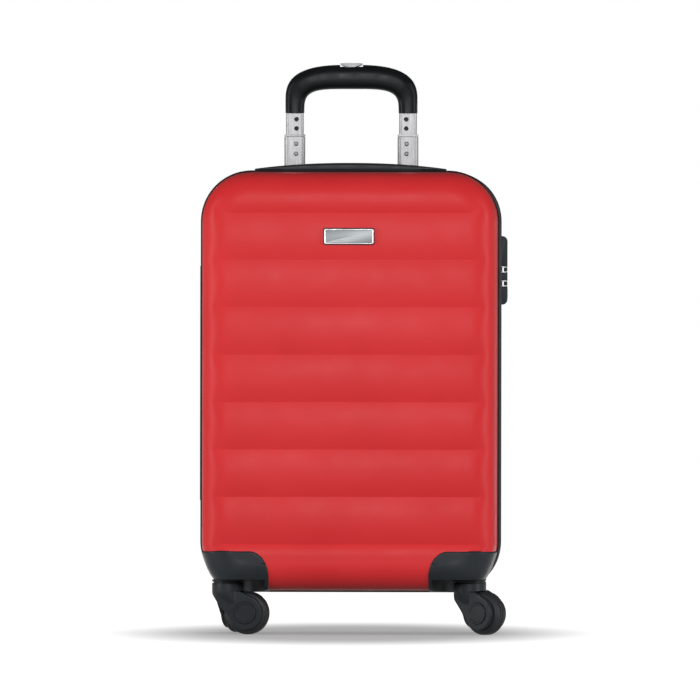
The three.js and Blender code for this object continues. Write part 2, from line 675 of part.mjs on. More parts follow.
// Rounded sections between the two outlines: up the left leg, over the top and down the right leg.
function gripForm() {
  const foot = [[-GRIP_OUTER.reach, GRIP_BOTTOM], [-GRIP_INNER.reach, GRIP_BOTTOM]];
  const section = (a) => [archPoint(GRIP_OUTER, a), archPoint(GRIP_INNER, 3 + 0.967 * a)];
  const left = [foot, ...[0, 3, 9, 19, 34, 52, 71].map(section)];
  const middle = section(90);
  const right = left.map(([[ox, oz], [ix, iz]]) => [[-ox, oz], [-ix, iz]]).reverse();
  const rings = [...left, middle, ...right];
  const facets = 10;
  const vertices = [];
  rings.forEach(([[ox, oz], [ix, iz]], k) => {
    const deep = 9.2 + 3.4 * smooth(0.1, 0.9, Math.min(k, rings.length - 1 - k) / left.length);
    for (let i = 0; i < facets; i++) {
      const b = (2 * Math.PI * (i + 0.5)) / facets;
      const round = (v) => Math.sign(v) * Math.abs(v) ** 0.72;
      const t = (1 + round(Math.cos(b)) / round(Math.cos(Math.PI / facets))) / 2;
      vertices.push([ix + (ox - ix) * t, TUBE_Y + deep * round(Math.sin(b)), iz + (oz - iz) * t]);
    }
  });
  const triangles = [];
  for (let k = 0; k < rings.length - 1; k++) {
    for (let i = 0; i < facets; i++) {
      const n = (i + 1) % facets;
      const [p, q] = [k * facets, (k + 1) * facets];
      triangles.push(p + i, p + n, q + n, p + i, q + n, q + i);
    }
  }
  const end = (rings.length - 1) * facets;
  for (let i = 1; i < facets - 1; i++) triangles.push(0, i + 1, i, end, end + i, end + i + 1);
  return solid(meshGeometry(vertices, triangles));
}

function grip() {
  let body = gripForm();
  for (const s of [-1, 1]) {
    const x = s * TUBE_X;
    body = body.subtract(innerHole(x, GRIP_BOTTOM - 9, GRIP_BOTTOM + 12 + GAP));
    body = body.subtract(rod("z", YOKE_ROD + 0.6, GRIP_BOTTOM, RELEASE_Z + 1, [x, TUBE_Y], 8));
  }
  const slot = box(
    [-TUBE_X - 3.2, TUBE_X + 3.2],
    [TUBE_Y - YOKE_ROD - 0.6, TUBE_Y + YOKE_ROD + 0.6],
    [RELEASE_Z - 4.4, RELEASE_Z + 5.4],
  );
  const buttonWell = plan(roundedRect(27, 15, 5, 0, TUBE_Y), GRIP_TOP - 8, GRIP_TOP + 10);
  return body
    .subtract(slot)
    .subtract(buttonWell)
    .subtract(rod("z", BUTTON_STEM + 0.6, RELEASE_Z, GRIP_TOP, [0, TUBE_Y], 10));
}
place("grip", grip(), blackPlastic);

function releaseButton() {
  const cap = plan(roundedRect(26, 14, 4.6, 0, TUBE_Y), GRIP_TOP - 3.4, GRIP_TOP + 1.9);
  return cap.add(rod("z", BUTTON_STEM, RELEASE_Z + 4.9, GRIP_TOP - 2, [0, TUBE_Y], 10));
}
place("release_button", releaseButton(), satinSilver);

// The bar and rods that carry the button's push down to the tubes' latches.
function releaseYoke() {
  const [reach, r] = [TUBE_X + 2, YOKE_ROD];
  const bar = box([-reach, reach], [TUBE_Y - r, TUBE_Y + r], [RELEASE_Z, RELEASE_Z + 4.6]);
  const pull = (x) => rod("z", YOKE_ROD, 372, RELEASE_Z + 2, [x, TUBE_Y], 8);
  return bar.add(pull(-TUBE_X)).add(pull(TUBE_X));
}
place("release_yoke", releaseYoke(), steel);

// ---- casters, each about its swivel axis with the wheel trailing along +X ----
const DISC_RADIUS = 20; // the round cheeks beside the wheel
const AXLE_RADIUS = 2.5;

function fork() {
  const shape = new THREE.Shape();
  shape.moveTo(-STEM_RADIUS, 50);
  shape.lineTo(-STEM_RADIUS, 48);
  for (let i = 0; i <= 8; i++) {
    const angle = THREE.MathUtils.degToRad(195 + 28 * i);
    shape.lineTo(TRAIL + DISC_RADIUS * Math.cos(angle), WHEEL_RADIUS + DISC_RADIUS * Math.sin(angle));
  }
  shape.lineTo(STEM_RADIUS - 1, 50);
  const slot = (WHEEL_WIDTH + 1.6) / 2;
  const pinHead = [CASTER_TOP + FLOOR + GAP, CASTER_TOP + FLOOR + 2];
  // The legs are no wider than the stem where they pass under it.
  const legPlan = rod("z", STEM_RADIUS, 0, 50, [0, 0], 18).add(box([0, 50], [-20, 20], [0, 50]));
  const legs = frontPrism(shape, -FORK_WIDTH / 2, FORK_WIDTH / 2).intersect(legPlan);
  return rod("z", STEM_RADIUS, 46, CASTER_TOP - 3.4, [0, 0], 18)
    .add(rod("z", STEM_RADIUS - 1.5, 50, CASTER_TOP - GAP, [0, 0], 18))
    .add(legs)
    .subtract(rod("y", WHEEL_RADIUS + 1.6, -slot, slot, [TRAIL, WHEEL_RADIUS], 18))
    .subtract(box([TRAIL - 5, TRAIL + 30], [-slot, slot], [-5, WHEEL_RADIUS + 20]))
    .subtract(rod("y", AXLE_RADIUS + GAP, -20, 20, [TRAIL, WHEEL_RADIUS], 10))
    .add(rod("z", PIN_HOLE - 0.4, 60, pinHead[1], [0, 0], 10))
    .add(rod("z", 7, ...pinHead, [0, 0], 10));
}

function wheel() {
  const half = WHEEL_WIDTH / 2;
  const bore = AXLE_RADIUS + 0.35;
  const profile = [
    [bore, -half],
    [20.5, -half],
    [24, -half + 2],
    [WHEEL_RADIUS, -half + 5],
    [WHEEL_RADIUS, half - 5],
    [24, half - 2],
    [20.5, half],
    [bore, half],
    [bore, -half],
  ].map(([r, y]) => new THREE.Vector2(r, y));
  return solid(new THREE.LatheGeometry(profile, 24));
}

function axle() {
  const [inner, outer] = [FORK_WIDTH / 2 + GAP, FORK_WIDTH / 2 + 1.5];
  const shaft = rod("y", AXLE_RADIUS, -inner - 0.4, inner + 0.4, [0, 0], 8);
  const cap = (sign) => rod("y", 12.5, ...mirrored(sign, inner, outer), [0, 0], 14);
  return shaft.add(cap(-1)).add(cap(1));
}

// Trail direction of each caster as it was left, in degrees from +X.
const casters = [
  ["front_left", -1, -1, -13],
  ["front_right", 1, -1, -40],
  ["rear_left", -1, 1, 68],
  ["rear_right", 1, 1, 55],
];
const [forkSolid, wheelSolid, axleSolid] = [fork(), wheel(), axle()];
for (const [word, sx, sy, heading] of casters) {
  const caster = new THREE.Group();
  caster.position.set(sx * SWIVEL_X, sy * SWIVEL_Y, 0);
  caster.rotation.z = THREE.MathUtils.degToRad(heading);
  suitcase.add(caster);
  place(`fork_${word}`, forkSolid, blackPlastic, caster);
  place(`wheel_${word}`, wheelSolid, rubber, caster).position.set(TRAIL, 0, WHEEL_RADIUS);
  place(`axle_${word}`, axleSolid, steel, caster).position.set(TRAIL, 0, WHEEL_RADIUS);
}

export default suitcase;
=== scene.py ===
"""The looks of the hard shell suitcase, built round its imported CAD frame.

Sizes are in millimetres in the helpers and become metres where a mesh is made. The front of the case faces -Y.
"""
import math

import bpy
import numpy as np
from mathutils import Matrix, Vector


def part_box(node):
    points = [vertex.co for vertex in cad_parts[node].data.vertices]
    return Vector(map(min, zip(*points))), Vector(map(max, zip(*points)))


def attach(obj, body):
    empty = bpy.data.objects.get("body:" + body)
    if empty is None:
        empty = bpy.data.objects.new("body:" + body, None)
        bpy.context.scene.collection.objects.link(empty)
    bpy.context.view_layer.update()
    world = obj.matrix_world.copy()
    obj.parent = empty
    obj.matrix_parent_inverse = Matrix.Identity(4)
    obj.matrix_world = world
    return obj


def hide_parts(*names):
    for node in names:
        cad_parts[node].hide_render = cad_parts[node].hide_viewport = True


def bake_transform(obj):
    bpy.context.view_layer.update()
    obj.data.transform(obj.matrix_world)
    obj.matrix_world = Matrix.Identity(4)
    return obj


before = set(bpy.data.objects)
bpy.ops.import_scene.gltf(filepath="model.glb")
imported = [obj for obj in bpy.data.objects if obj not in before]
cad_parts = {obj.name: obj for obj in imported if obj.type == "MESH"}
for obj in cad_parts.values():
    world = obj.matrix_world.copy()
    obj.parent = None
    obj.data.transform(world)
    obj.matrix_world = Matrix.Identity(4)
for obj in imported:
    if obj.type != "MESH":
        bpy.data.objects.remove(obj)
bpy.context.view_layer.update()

MM = 0.001
RNG = np.random.default_rng(7)


# ---- driving dimensions, from the frame where it has them ----
def cad_box(node):
    """Lowest and highest corner of a CAD node, in millimetres."""
    low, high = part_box(node)
    return np.array(low) / MM, np.array(high) / MM


SHELL_LOW, SHELL_HIGH = cad_box("front_shell")
RIM_HALF_WIDTH = SHELL_HIGH[0]
BOTTOM, TOP = SHELL_LOW[2], SHELL_HIGH[2]
SHELL_DEPTH = -SHELL_LOW[1]
RIM_Y = -SHELL_HIGH[1]
CORNER_RADIUS = 58
EDGE_INSET = 32
EDGE_START_Y = 82
DRAFT = 2.5
CROWN = 2
WALL = 2.6
RIB_PITCH = 55
FIRST_CREASE = 105
CREASES = 8
RIB_DEPTH = 3.2
END_RIB_RUN = 14

FACE_HALF_WIDTH = RIM_HALF_WIDTH - EDGE_INSET
FACE_CORNER = CORNER_RADIUS - EDGE_INSET
FACE_LOW, FACE_HIGH = BOTTOM + EDGE_INSET, TOP - EDGE_INSET

HOUSING_IN_X = 92.5
HOUSING_FLARE = 3.9  # how far the guards' lower corners stand out
HOUSING_ROUND = (22.5, 30)
HOUSING_IN_Y = cad_box("wheel_housing_rear_right")[0][1]
HOUSING_TOP = cad_box("wheel_housing_rear_right")[1][2]
HOUSING_PROUD = 1.4
WELL_RADIUS = 43.5
WELL_CEILING = 64
SWIVEL_X, SWIVEL_Y = 140.5, 68
WHEEL_RADIUS = 25
TRAIL = 24
STEM_RADIUS = 18.5
FORK_WIDTH = 29

TUBE_X = float(np.mean([cad_box("inner_tube_right")[0][0], cad_box("inner_tube_right")[1][0]]))
CARRY_X = 100.0  # the carry handle's posts
BUSH_RADIUS = 4.9  # round each post
TUBE_Y = float(np.mean([cad_box("inner_tube_right")[0][1], cad_box("inner_tube_right")[1][1]]))


# ---- meshes ----
def mesh_object(name, vertices, faces, material, uvs=None, smooth=True, sharp=None):
    """A mesh object from vertices in millimetres. uvs holds one pair a vertex; sharp is an angle in degrees."""
    mesh = bpy.data.meshes.new(name)
    mesh.from_pydata((np.asarray(vertices, float) * MM).tolist(), [], [list(map(int, f)) for f in faces])
    mesh.validate()
    if uvs is not None:
        layer = mesh.uv_layers.new(name="UVMap")
        corner = np.zeros(len(mesh.loops), np.int32)
        mesh.loops.foreach_get("vertex_index", corner)
        layer.data.foreach_set("uv", (np.asarray(uvs, float)[corner] * MM).ravel().astype(np.float32))
    mesh.polygons.foreach_set("use_smooth", [smooth] * len(mesh.polygons))
    mesh.materials.append(material)
    obj = bpy.data.objects.new(name, mesh)
    bpy.context.scene.collection.objects.link(obj)
    if sharp is not None:
        mesh.set_sharp_from_angle(angle=math.radians(sharp))
    return obj


def apply_modifiers(obj, sharp=None):
    bpy.context.view_layer.update()
    graph = bpy.context.evaluated_depsgraph_get()
    mesh = bpy.data.meshes.new_from_object(obj.evaluated_get(graph), depsgraph=graph)
    old, name = obj.data, obj.data.name
    obj.modifiers.clear()
    obj.data = mesh
    bpy.data.meshes.remove(old)
    mesh.name = name
    if sharp is not None:
        mesh.set_sharp_from_angle(angle=math.radians(sharp))
    return obj


def boolean(obj, cutters, operation="DIFFERENCE", sharp=35):
    """Cuts obj with the cutters, or joins or intersects them, and removes them."""
    for cutter in cutters:
        step = obj.modifiers.new("boolean", "BOOLEAN")
        step.operation = operation
        step.object = cutter
        step.solver = "MANIFOLD"
    apply_modifiers(obj, sharp)
    for cutter in cutters:
        bpy.data.objects.remove(cutter)
    return obj


def bevel(obj, width, segments=3, angle=35, sharp=None):
    step = obj.modifiers.new("bevel", "BEVEL")
    step.width = width * MM
    step.segments = segments
    step.limit_method = "ANGLE"
    step.angle_limit = math.radians(angle)
    step.harden_normals = False
    return apply_modifiers(obj, sharp if sharp is not None else 40)


def join(objects, name):
    """One object from several, with all their materials."""
    with bpy.context.temp_override(
        active_object=objects[0], selected_objects=objects, selected_editable_objects=objects
    ):
        bpy.ops.object.join()
    objects[0].name = objects[0].data.name = name
    return objects[0]


def transform(obj, matrix):
    obj.data.transform(matrix)
    if matrix.determinant() < 0:
        obj.data.flip_normals()
    return obj


def copy_of(obj, name, matrix=None):
    twin = obj.copy()
    twin.data = obj.data.copy()
    twin.name = twin.data.name = name
    bpy.context.scene.collection.objects.link(twin)
    return transform(twin, matrix) if matrix else twin


def moved(x, y, z):
    return Matrix.Translation((x * MM, y * MM, z * MM))


def loft(name, rings, material, closed_path=False, caps=True, uvs=None, sharp=40):
    """A surface through rings of equally many points, each ring a closed loop."""
    rings = np.asarray(rings, float)
    count, size = rings.shape[:2]
    faces = []
    for k in range(count if closed_path else count - 1):
        a, b = k * size, ((k + 1) % count) * size
        faces += [(a + i, a + (i + 1) % size, b + (i + 1) % size, b + i) for i in range(size)]
    if caps and not closed_path:
        faces.append(tuple(range(size - 1, -1, -1)))
        faces.append(tuple((count - 1) * size + i for i in range(size)))
    obj = mesh_object(name, rings.reshape(-1, 3), faces, material, uvs=uvs)
    return face_outward(obj, sharp)


def face_outward(obj, sharp=40):
    """Turns a closed mesh's faces outward."""
    mesh = obj.data
    co = np.zeros(len(mesh.vertices) * 3)
    mesh.vertices.foreach_get("co", co)
    co = co.reshape(-1, 3)
    mesh.calc_loop_triangles()
    tri = np.zeros(len(mesh.loop_triangles) * 3, np.int32)
    mesh.loop_triangles.foreach_get("vertices", tri)
    a, b, c = (co[tri.reshape(-1, 3)[:, i]] for i in range(3))
    if np.einsum("ij,ij->i", a, np.cross(b, c)).sum() < 0:
        mesh.flip_normals()
    if sharp is not None:
        mesh.set_sharp_from_angle(angle=math.radians(sharp))
    return obj


def prism(name, outline, low, high, material, axis="y", sharp=40):
    """An outline extruded along an axis. It is drawn in X-Z for y, in X-Y for z and in Y-Z for x."""
    order = {"y": lambda p, t: (p[0], t, p[1]), "z": lambda p, t: (p[0], p[1], t), "x": lambda p, t: (t, p[0], p[1])}
    place = order[axis]
    rings = [[place(p, t) for p in outline] for t in (low, high)]
    return loft(name, rings, material, sharp=sharp)


def lathe(name, profile, material, axis="z", steps=64, sharp=40):
    """A closed profile of (radius, height) points turned round an axis."""
    turn = [2 * math.pi * k / steps for k in range(steps)]
    if axis == "z":
        rings = [[(r * math.cos(a), r * math.sin(a), h) for r, h in profile] for a in turn]
    else:
        rings = [[(r * math.cos(a), h, r * math.sin(a)) for r, h in profile] for a in turn]
    return loft(name, rings, material, closed_path=True, sharp=sharp)


def box(name, xs, ys, zs, material):
    outline = [(xs[0], zs[0]), (xs[1], zs[0]), (xs[1], zs[1]), (xs[0], zs[1])]
    return prism(name, outline, ys[0], ys[1], material)


def rounded_rect(width, height, radius, x=0.0, y=0.0, steps=8):
    points = []
    for cx, cy, start in ((1, -1, -90), (1, 1, 0), (-1, 1, 90), (-1, -1, 180)):
        for k in range(steps + 1):
            a = math.radians(start + 90 * k / steps)
            px = x + cx * (width / 2 - radius) + radius * math.cos(a)
            py = y + cy * (height / 2 - radius) + radius * math.sin(a)
            points.append((px, py))
    return points


def cylinder(name, axis, radius, low, high, centre, material, steps=64):
    ring = [(radius * math.cos(2 * math.pi * k / steps), radius * math.sin(2 * math.pi * k / steps)) for k in range(steps)]
    return prism(name, [(centre[0] + p[0], centre[1] + p[1]) for p in ring], low, high, material, axis=axis)


# ---- materials ----
class Surface:
    """A Principled material and the few node chains that the finishes share."""

    def __init__(self, name, color, roughness, metallic=0.0, **sockets):
        self.material = bpy.data.materials.new(name)
        self.material.use_nodes = True
        self.tree = self.material.node_tree
        self.shader = self.tree.nodes["Principled BSDF"]
        self.set(self.shader, {"Base Color": (*color, 1), "Roughness": roughness, "Metallic": metallic, **sockets})
        self.height = None

    @staticmethod
    def set(node, values):
        for key, value in values.items():
            node.inputs[key].default_value = value

    def node(self, kind, inputs=None, **settings):
        made = self.tree.nodes.new(kind)
        for key, value in settings.items():
            setattr(made, key, value)
        for key, value in (inputs or {}).items():
            if isinstance(value, bpy.types.NodeSocket):
                self.tree.links.new(value, made.inputs[key])
            else:
                made.inputs[key].default_value = value
        return made

    def math(self, operation, a, b=0.0):
        return self.node("ShaderNodeMath", {0: a, 1: b}, operation=operation).outputs[0]

    def coordinates(self, kind="Object", scale=(1, 1, 1)):
        source = self.node("ShaderNodeTexCoord").outputs[kind]
        return self.node("ShaderNodeMapping", {"Vector": source, "Scale": scale}).outputs[0]

    def noise(self, scale, stretch=(1, 1, 1), detail=3.0, kind="Object"):
        inputs = {"Vector": self.coordinates(kind, stretch), "Scale": scale, "Detail": detail}
        return self.node("ShaderNodeTexNoise", inputs).outputs["Fac"]

    def ranged(self, value, low, high, source=(0.3, 0.7), **settings):
        inputs = {"Value": value, "From Min": source[0], "From Max": source[1], "To Min": low, "To Max": high}
        return self.node("ShaderNodeMapRange", inputs, **settings).outputs[0]

    def vary_roughness(self, value, low, high):
        self.tree.links.new(self.ranged(value, low, high), self.shader.inputs["Roughness"])

    def vary_color(self, value, dark, light, source=(0.3, 0.7)):
        factor = self.ranged(value, 0.0, 1.0, source)
        mix = self.node("ShaderNodeMix", {"Factor": factor}, data_type="RGBA")
        mix.inputs[6].default_value = (*dark, 1)
        mix.inputs[7].default_value = (*light, 1)
        self.tree.links.new(mix.outputs[2], self.shader.inputs["Base Color"])

    def bump(self, height, strength, distance):
        inputs = {"Height": height, "Strength": strength, "Distance": distance * MM}
        if self.height is not None:
            inputs["Normal"] = self.height
        self.height = self.node("ShaderNodeBump", inputs).outputs[0]
        self.tree.links.new(self.height, self.shader.inputs["Normal"])


def red_shell_material():
    """Moulded ABS with a fine diamond grain, laid along the shell by its UV map."""
    s = Surface("red_abs", (0.62, 0.030, 0.034), 0.42, **{"Specular IOR Level": 0.12})
    axes = s.node("ShaderNodeSeparateXYZ", {0: s.node("ShaderNodeTexCoord").outputs["UV"]})
    pitch = 2 * math.pi / (2.3 * MM)
    across = s.math("MULTIPLY", s.math("ADD", axes.outputs[0], axes.outputs[1]), pitch)
    along = s.math("MULTIPLY", s.math("SUBTRACT", axes.outputs[0], axes.outputs[1]), pitch)
    diamond = s.math("MULTIPLY", s.math("SINE", across), s.math("SINE", along))
    s.bump(diamond, 0.28, 0.06)
    s.bump(s.noise(420, detail=4), 0.08, 0.1)
    s.vary_roughness(s.noise(30), 0.38, 0.47)
    s.vary_color(s.noise(9, detail=5), (0.60, 0.025, 0.028), (0.65, 0.030, 0.034))
    return s.material


def plastic_material(name, color, roughness, grain=900, wear=0.25, shine=0.25):
    """Moulded black plastic: a fine spark-eroded grain and faint scuffs."""
    s = Surface(name, color, roughness, **{"Specular IOR Level": shine})
    s.bump(s.noise(grain, detail=2), 0.16, 0.06)
    s.vary_roughness(s.noise(55, detail=6), roughness - 0.07, roughness + 0.08)
    lighter = tuple(c * (1 + wear) + 0.002 for c in color)
    s.vary_color(s.noise(24, detail=8), color, lighter)
    return s.material


def brushed_material(name, color, roughness, stretch=(1, 1, 0.02), metallic=1.0):
    """Metal with fine lines along one axis."""
    s = Surface(name, color, roughness, metallic=metallic)
    lines = s.noise(2600, stretch=stretch, detail=2)
    s.bump(lines, 0.05, 0.05)
    s.vary_roughness(lines, roughness - 0.06, roughness + 0.1)
    s.vary_color(s.noise(40, detail=4), tuple(c * 0.94 for c in color), color)
    return s.material


def woven_material(name, dark, light, pitch, roughness=0.85, kind="Object", sheen=0.2):
    """A plain weave of the given pitch in millimetres."""
    s = Surface(name, light, roughness, **{"Sheen Weight": sheen, "Sheen Roughness": 0.5})
    axes = s.node("ShaderNodeSeparateXYZ", {0: s.coordinates(kind)})
    turn = math.pi / (pitch * MM)
    sines = [s.math("SINE", s.math("MULTIPLY", axes.outputs[i], turn)) for i in range(3)]
    weave = s.math("ADD", s.math("MULTIPLY", sines[0], sines[2]), s.math("MULTIPLY", sines[1], sines[2]))
    s.bump(weave, 0.35, 0.12)
    s.bump(s.noise(60, detail=5), 0.25, 0.8)
    s.vary_color(s.noise(35, detail=6), dark, light)
    return s.material


def rubber_material():
    s = Surface("wheel_tyre", (0.013, 0.014, 0.016), 0.55, **{"Specular IOR Level": 0.3})
    s.bump(s.noise(700, detail=3), 0.2, 0.08)
    s.vary_roughness(s.noise(60, detail=6), 0.42, 0.62)
    s.vary_color(s.noise(45, detail=8), (0.011, 0.012, 0.014), (0.021, 0.022, 0.025))
    return s.material


RED = red_shell_material()
BLACK = plastic_material("black_plastic", (0.015, 0.018, 0.021), 0.42, shine=0.16)
GLOSS_BLACK = plastic_material("grip_plastic", (0.004, 0.005, 0.006), 0.34, grain=1400, wear=0.15, shine=0.1)
BAND = plastic_material("band_plastic", (0.014, 0.017, 0.022), 0.5)
COLLAR = plastic_material("collar_plastic", (0.40, 0.41, 0.42), 0.5, grain=2600, wear=0.9)
TYRE = rubber_material()
ALUMINIUM = brushed_material("tube_aluminium", (0.36, 0.36, 0.37), 0.5, metallic=0.7)
RIVET = brushed_material("rivet_steel", (0.16, 0.165, 0.17), 0.4, metallic=0.7)
SILVER = brushed_material("satin_silver", (0.30, 0.32, 0.33), 0.5, stretch=(0.02, 1, 1), metallic=0.7)
# A lighter silver for the badge's bevelled rim: a painted highlight along its edge.
PLATE_RIM_PAINTED_HIGHLIGHT = brushed_material("plate_edge_painted_highlight", (0.55, 0.57, 0.58), 0.3, stretch=(0.02, 1, 1), metallic=0.8)
STEEL = brushed_material("steel", (0.26, 0.27, 0.28), 0.38, metallic=0.85)
TAPE = woven_material("zip_tape", (0.010, 0.011, 0.014), (0.020, 0.022, 0.028), 0.9)
WEBBING = woven_material("webbing", (0.014, 0.015, 0.018), (0.030, 0.032, 0.038), 1.4)
LINING = woven_material("lining", (0.115, 0.118, 0.130), (0.165, 0.170, 0.185), 0.7, roughness=0.6, sheen=0.5)
DIGIT = plastic_material("dial_digit", (0.68, 0.69, 0.70), 0.5, wear=0.12)


# ---- the moulded form of a case half ----
def smoothstep(low, high, x):
    t = np.clip((np.asarray(x, float) - low) / (high - low), 0, 1)
    return t * t * (3 - 2 * t)


def rib_sink(z):
    """How far the face sinks below its crest: convex ribs that meet in sharp creases."""
    z = np.asarray(z, float)
    last = FIRST_CREASE + RIB_PITCH * (CREASES - 1)
    t = ((z - FIRST_CREASE) % RIB_PITCH) / RIB_PITCH
    rib = (2 * t - 1) ** 2
    below = np.clip(1 - (FIRST_CREASE - z) / END_RIB_RUN, 0, 1) ** 2
    above = np.clip(1 - (z - last) / END_RIB_RUN, 0, 1) ** 2
    return RIB_DEPTH * np.where(z < FIRST_CREASE, below, np.where(z > last, above, rib))


def face_edge(z):
    """Direction that the sides leave the face in, and the face's half width, at height z."""
    low, high = FACE_LOW + FACE_CORNER, FACE_HIGH - FACE_CORNER
    over = np.where(z > high, z - high, np.where(z < low, z - low, 0))
    angle = np.arcsin(np.clip(over / FACE_CORNER, -1, 1))
    return angle, FACE_HALF_WIDTH - FACE_CORNER + FACE_CORNER * np.cos(angle)


def shell_rows(corner_steps=14):
    """Heights of the rows of points: close together beside each crease and round the corners."""
    low, high = FACE_LOW + FACE_CORNER, FACE_HIGH - FACE_CORNER
    arc = FACE_CORNER * np.sin(np.radians(np.linspace(0, 90, corner_steps + 1)))
    rows = [*(low - arc), *(high + arc)]
    beside = (0.5, 1.3, 2.6, 5, 8.5, 13, 18, 23)
    for i in range(CREASES):
        crease = FIRST_CREASE + RIB_PITCH * i
        rows += [crease, *(crease - d for d in beside), *(crease + d for d in beside)]
    rows = sorted(r for r in rows if FACE_LOW <= r <= FACE_HIGH)
    creases = [FIRST_CREASE + RIB_PITCH * i for i in range(CREASES)]
    kept = []
    for row in rows:
        if kept and row - kept[-1] < 0.45:
            if row in creases:
                kept[-1] = row
            continue
        kept.append(row)
    kept[-1] = FACE_HIGH
    return np.array(kept)


def half_form(side, grow, rim_y, rows, columns, levels=12, ribbed=True, proud=None, skirt=(0.5, 1.0)):
    """Points, UVs and faces of one case half, open at its rim, and the rim's loop of points.

    side is -1 for the front and 1 for the rear; grow moves every wall out; proud gives an extra offset from
    the points themselves; skirt lists how far down to the rim each ring of the sides lies.
    """
    angle, half = face_edge(rows)
    count_j, count_i = len(rows), len(columns)
    reach = EDGE_INSET - DRAFT + grow
    rise = SHELL_DEPTH - CROWN - EDGE_START_Y + grow
    sink = rib_sink(rows) if ribbed else np.zeros(count_j) + (RIB_DEPTH if grow < 0 else 0)

    x = half[:, None] * columns[None, :]
    z = np.repeat(rows[:, None], count_i, 1)
    crown = CROWN * (1 - (x / FACE_HALF_WIDTH) ** 2)
    y = EDGE_START_Y + rise + crown - sink[:, None]
    points = [np.stack([x, y, z], 2).reshape(-1, 3)]
    normals = [np.tile([0.0, 1.0, 0.0], (count_j * count_i, 1))]
    uvs = [np.stack([x, z], 2).reshape(-1, 2)]

    def at(j, i):
        return j * count_i + i

    loop, way = [], []
    loop += [at(0, i) for i in range(1, count_i - 1)]
    way += [-math.pi / 2] * (count_i - 2)
    loop += [at(j, count_i - 1) for j in range(count_j)]
    way += list(angle)
    loop += [at(count_j - 1, i) for i in range(count_i - 2, 0, -1)]
    way += [math.pi / 2] * (count_i - 2)
    loop += [at(j, 0) for j in range(count_j - 1, -1, -1)]
    way += list(math.pi - angle[::-1])
    loop, way = np.array(loop), np.array(way)
    start = points[0][loop]
    go = np.stack([np.cos(way), np.sin(way)], 1)
    edge_sink = EDGE_START_Y + rise + CROWN * (1 - (start[:, 0] / FACE_HALF_WIDTH) ** 2) - start[:, 1]
    edge_rise = rise + CROWN * (1 - (start[:, 0] / FACE_HALF_WIDTH) ** 2)

    rings = []
    travelled = 0.0
    before = np.array([0.0, rise])
    for k in range(1, levels + 1):
        a = math.pi / 2 * (1 - k / levels)
        here = np.array([reach * math.cos(a), rise * math.sin(a)])
        travelled += float(np.linalg.norm(here - before))
        before = here
        fade = smoothstep(0.7, 1.4, a) if ribbed else math.sin(a)
        ring_y = EDGE_START_Y + edge_rise * math.sin(a) - edge_sink * fade
        rings.append((here[0], ring_y, travelled, (math.cos(a), math.sin(a))))
    for t in skirt:
        out = reach + DRAFT * t
        depth = EDGE_START_Y + (rim_y - EDGE_START_Y) * t
        rings.append((out, np.full(len(loop), depth), travelled + (EDGE_START_Y - rim_y) * t, (1, 0)))

    faces = [(at(j, i), at(j, i + 1), at(j + 1, i + 1), at(j + 1, i)) for j in range(count_j - 1) for i in range(count_i - 1)]
    previous, total = loop, count_j * count_i
    for out, ring_y, length, (flat, deep) in rings:
        xz = start[:, [0, 2]] + go * out
        points.append(np.stack([xz[:, 0], ring_y, xz[:, 1]], 1))
        normals.append(np.stack([go[:, 0] * flat, np.full(len(loop), deep), go[:, 1] * flat], 1))
        uvs.append(start[:, [0, 2]] + go * length)
        ring = total + np.arange(len(loop))
        total += len(loop)
        after = np.roll(ring, -1)
        faces += list(zip(previous, ring, after, np.roll(previous, -1)))
        previous = ring
    points, normals, uvs = (np.concatenate(p) for p in (points, normals, uvs))
    if proud is not None:
        points = points + normals * proud(points)[:, None]
    points[:, 1] *= side
    if side > 0:
        faces = [f[::-1] for f in faces]
    return points, uvs, faces, previous


def shell_solid(name, side, material, thickness=WALL, grow=0.0, rim=RIM_Y, ribbed=True, rows=None, columns=None):
    """A closed half shell: an outer skin and an inner one, joined round the rim."""
    rows = shell_rows() if rows is None else rows
    columns = np.linspace(-1, 1, 41) if columns is None else columns
    outer = half_form(side, grow, rim, rows, columns, ribbed=ribbed)
    inner = half_form(side, grow - thickness, rim, rows, columns, ribbed=ribbed)
    shift = len(outer[0])
    points = np.concatenate([outer[0], inner[0]])
    uvs = np.concatenate([outer[1], inner[1]])
    faces = outer[2] + [tuple(i + shift for i in f[::-1]) for f in inner[2]]
    a, b = outer[3], inner[3] + shift
    bridge = list(zip(a, b, np.roll(b, -1), np.roll(a, -1)))
    faces += bridge if side < 0 else [f[::-1] for f in bridge]
    return face_outward(mesh_object(name, points, faces, material, uvs=uvs), 32)


def full_solid(name, side, material, grow, rim, rows, columns, ribbed=False, levels=12, proud=None, skirt=(0.5, 1.0)):
    """A case half filled in to its rim, for cutting with."""
    points, uvs, faces, loop = half_form(side, grow, rim, rows, columns, levels, ribbed, proud, skirt)
    lid = tuple(loop[::-1]) if side < 0 else tuple(loop)
    return face_outward(mesh_object(name, points, faces + [lid], material, uvs=uvs), 32)


def housing_outline(grow, steps=24):
    """Front outline of the right-hand wheel housing, open outward, as (x, z)."""
    inner, top = HOUSING_IN_X - grow, HOUSING_TOP + grow
    across, down = HOUSING_ROUND
    points = [(185, 30), (185, top), (inner + across, top)]
    for k in range(1, steps + 1):
        a = math.pi / 2 * k / steps
        points.append((inner + across * (1 - math.sin(a)), top - down * (1 - math.cos(a))))
    return points + [(inner - 1.5, 30)]


def housing_cutter(sx, side, grow):
    outline = [(sx * x, z) for x, z in housing_outline(grow)]
    ys = sorted((side * (HOUSING_IN_Y - grow), side * 125))
    return prism("housing_cutter", outline, ys[0], ys[1], RED)


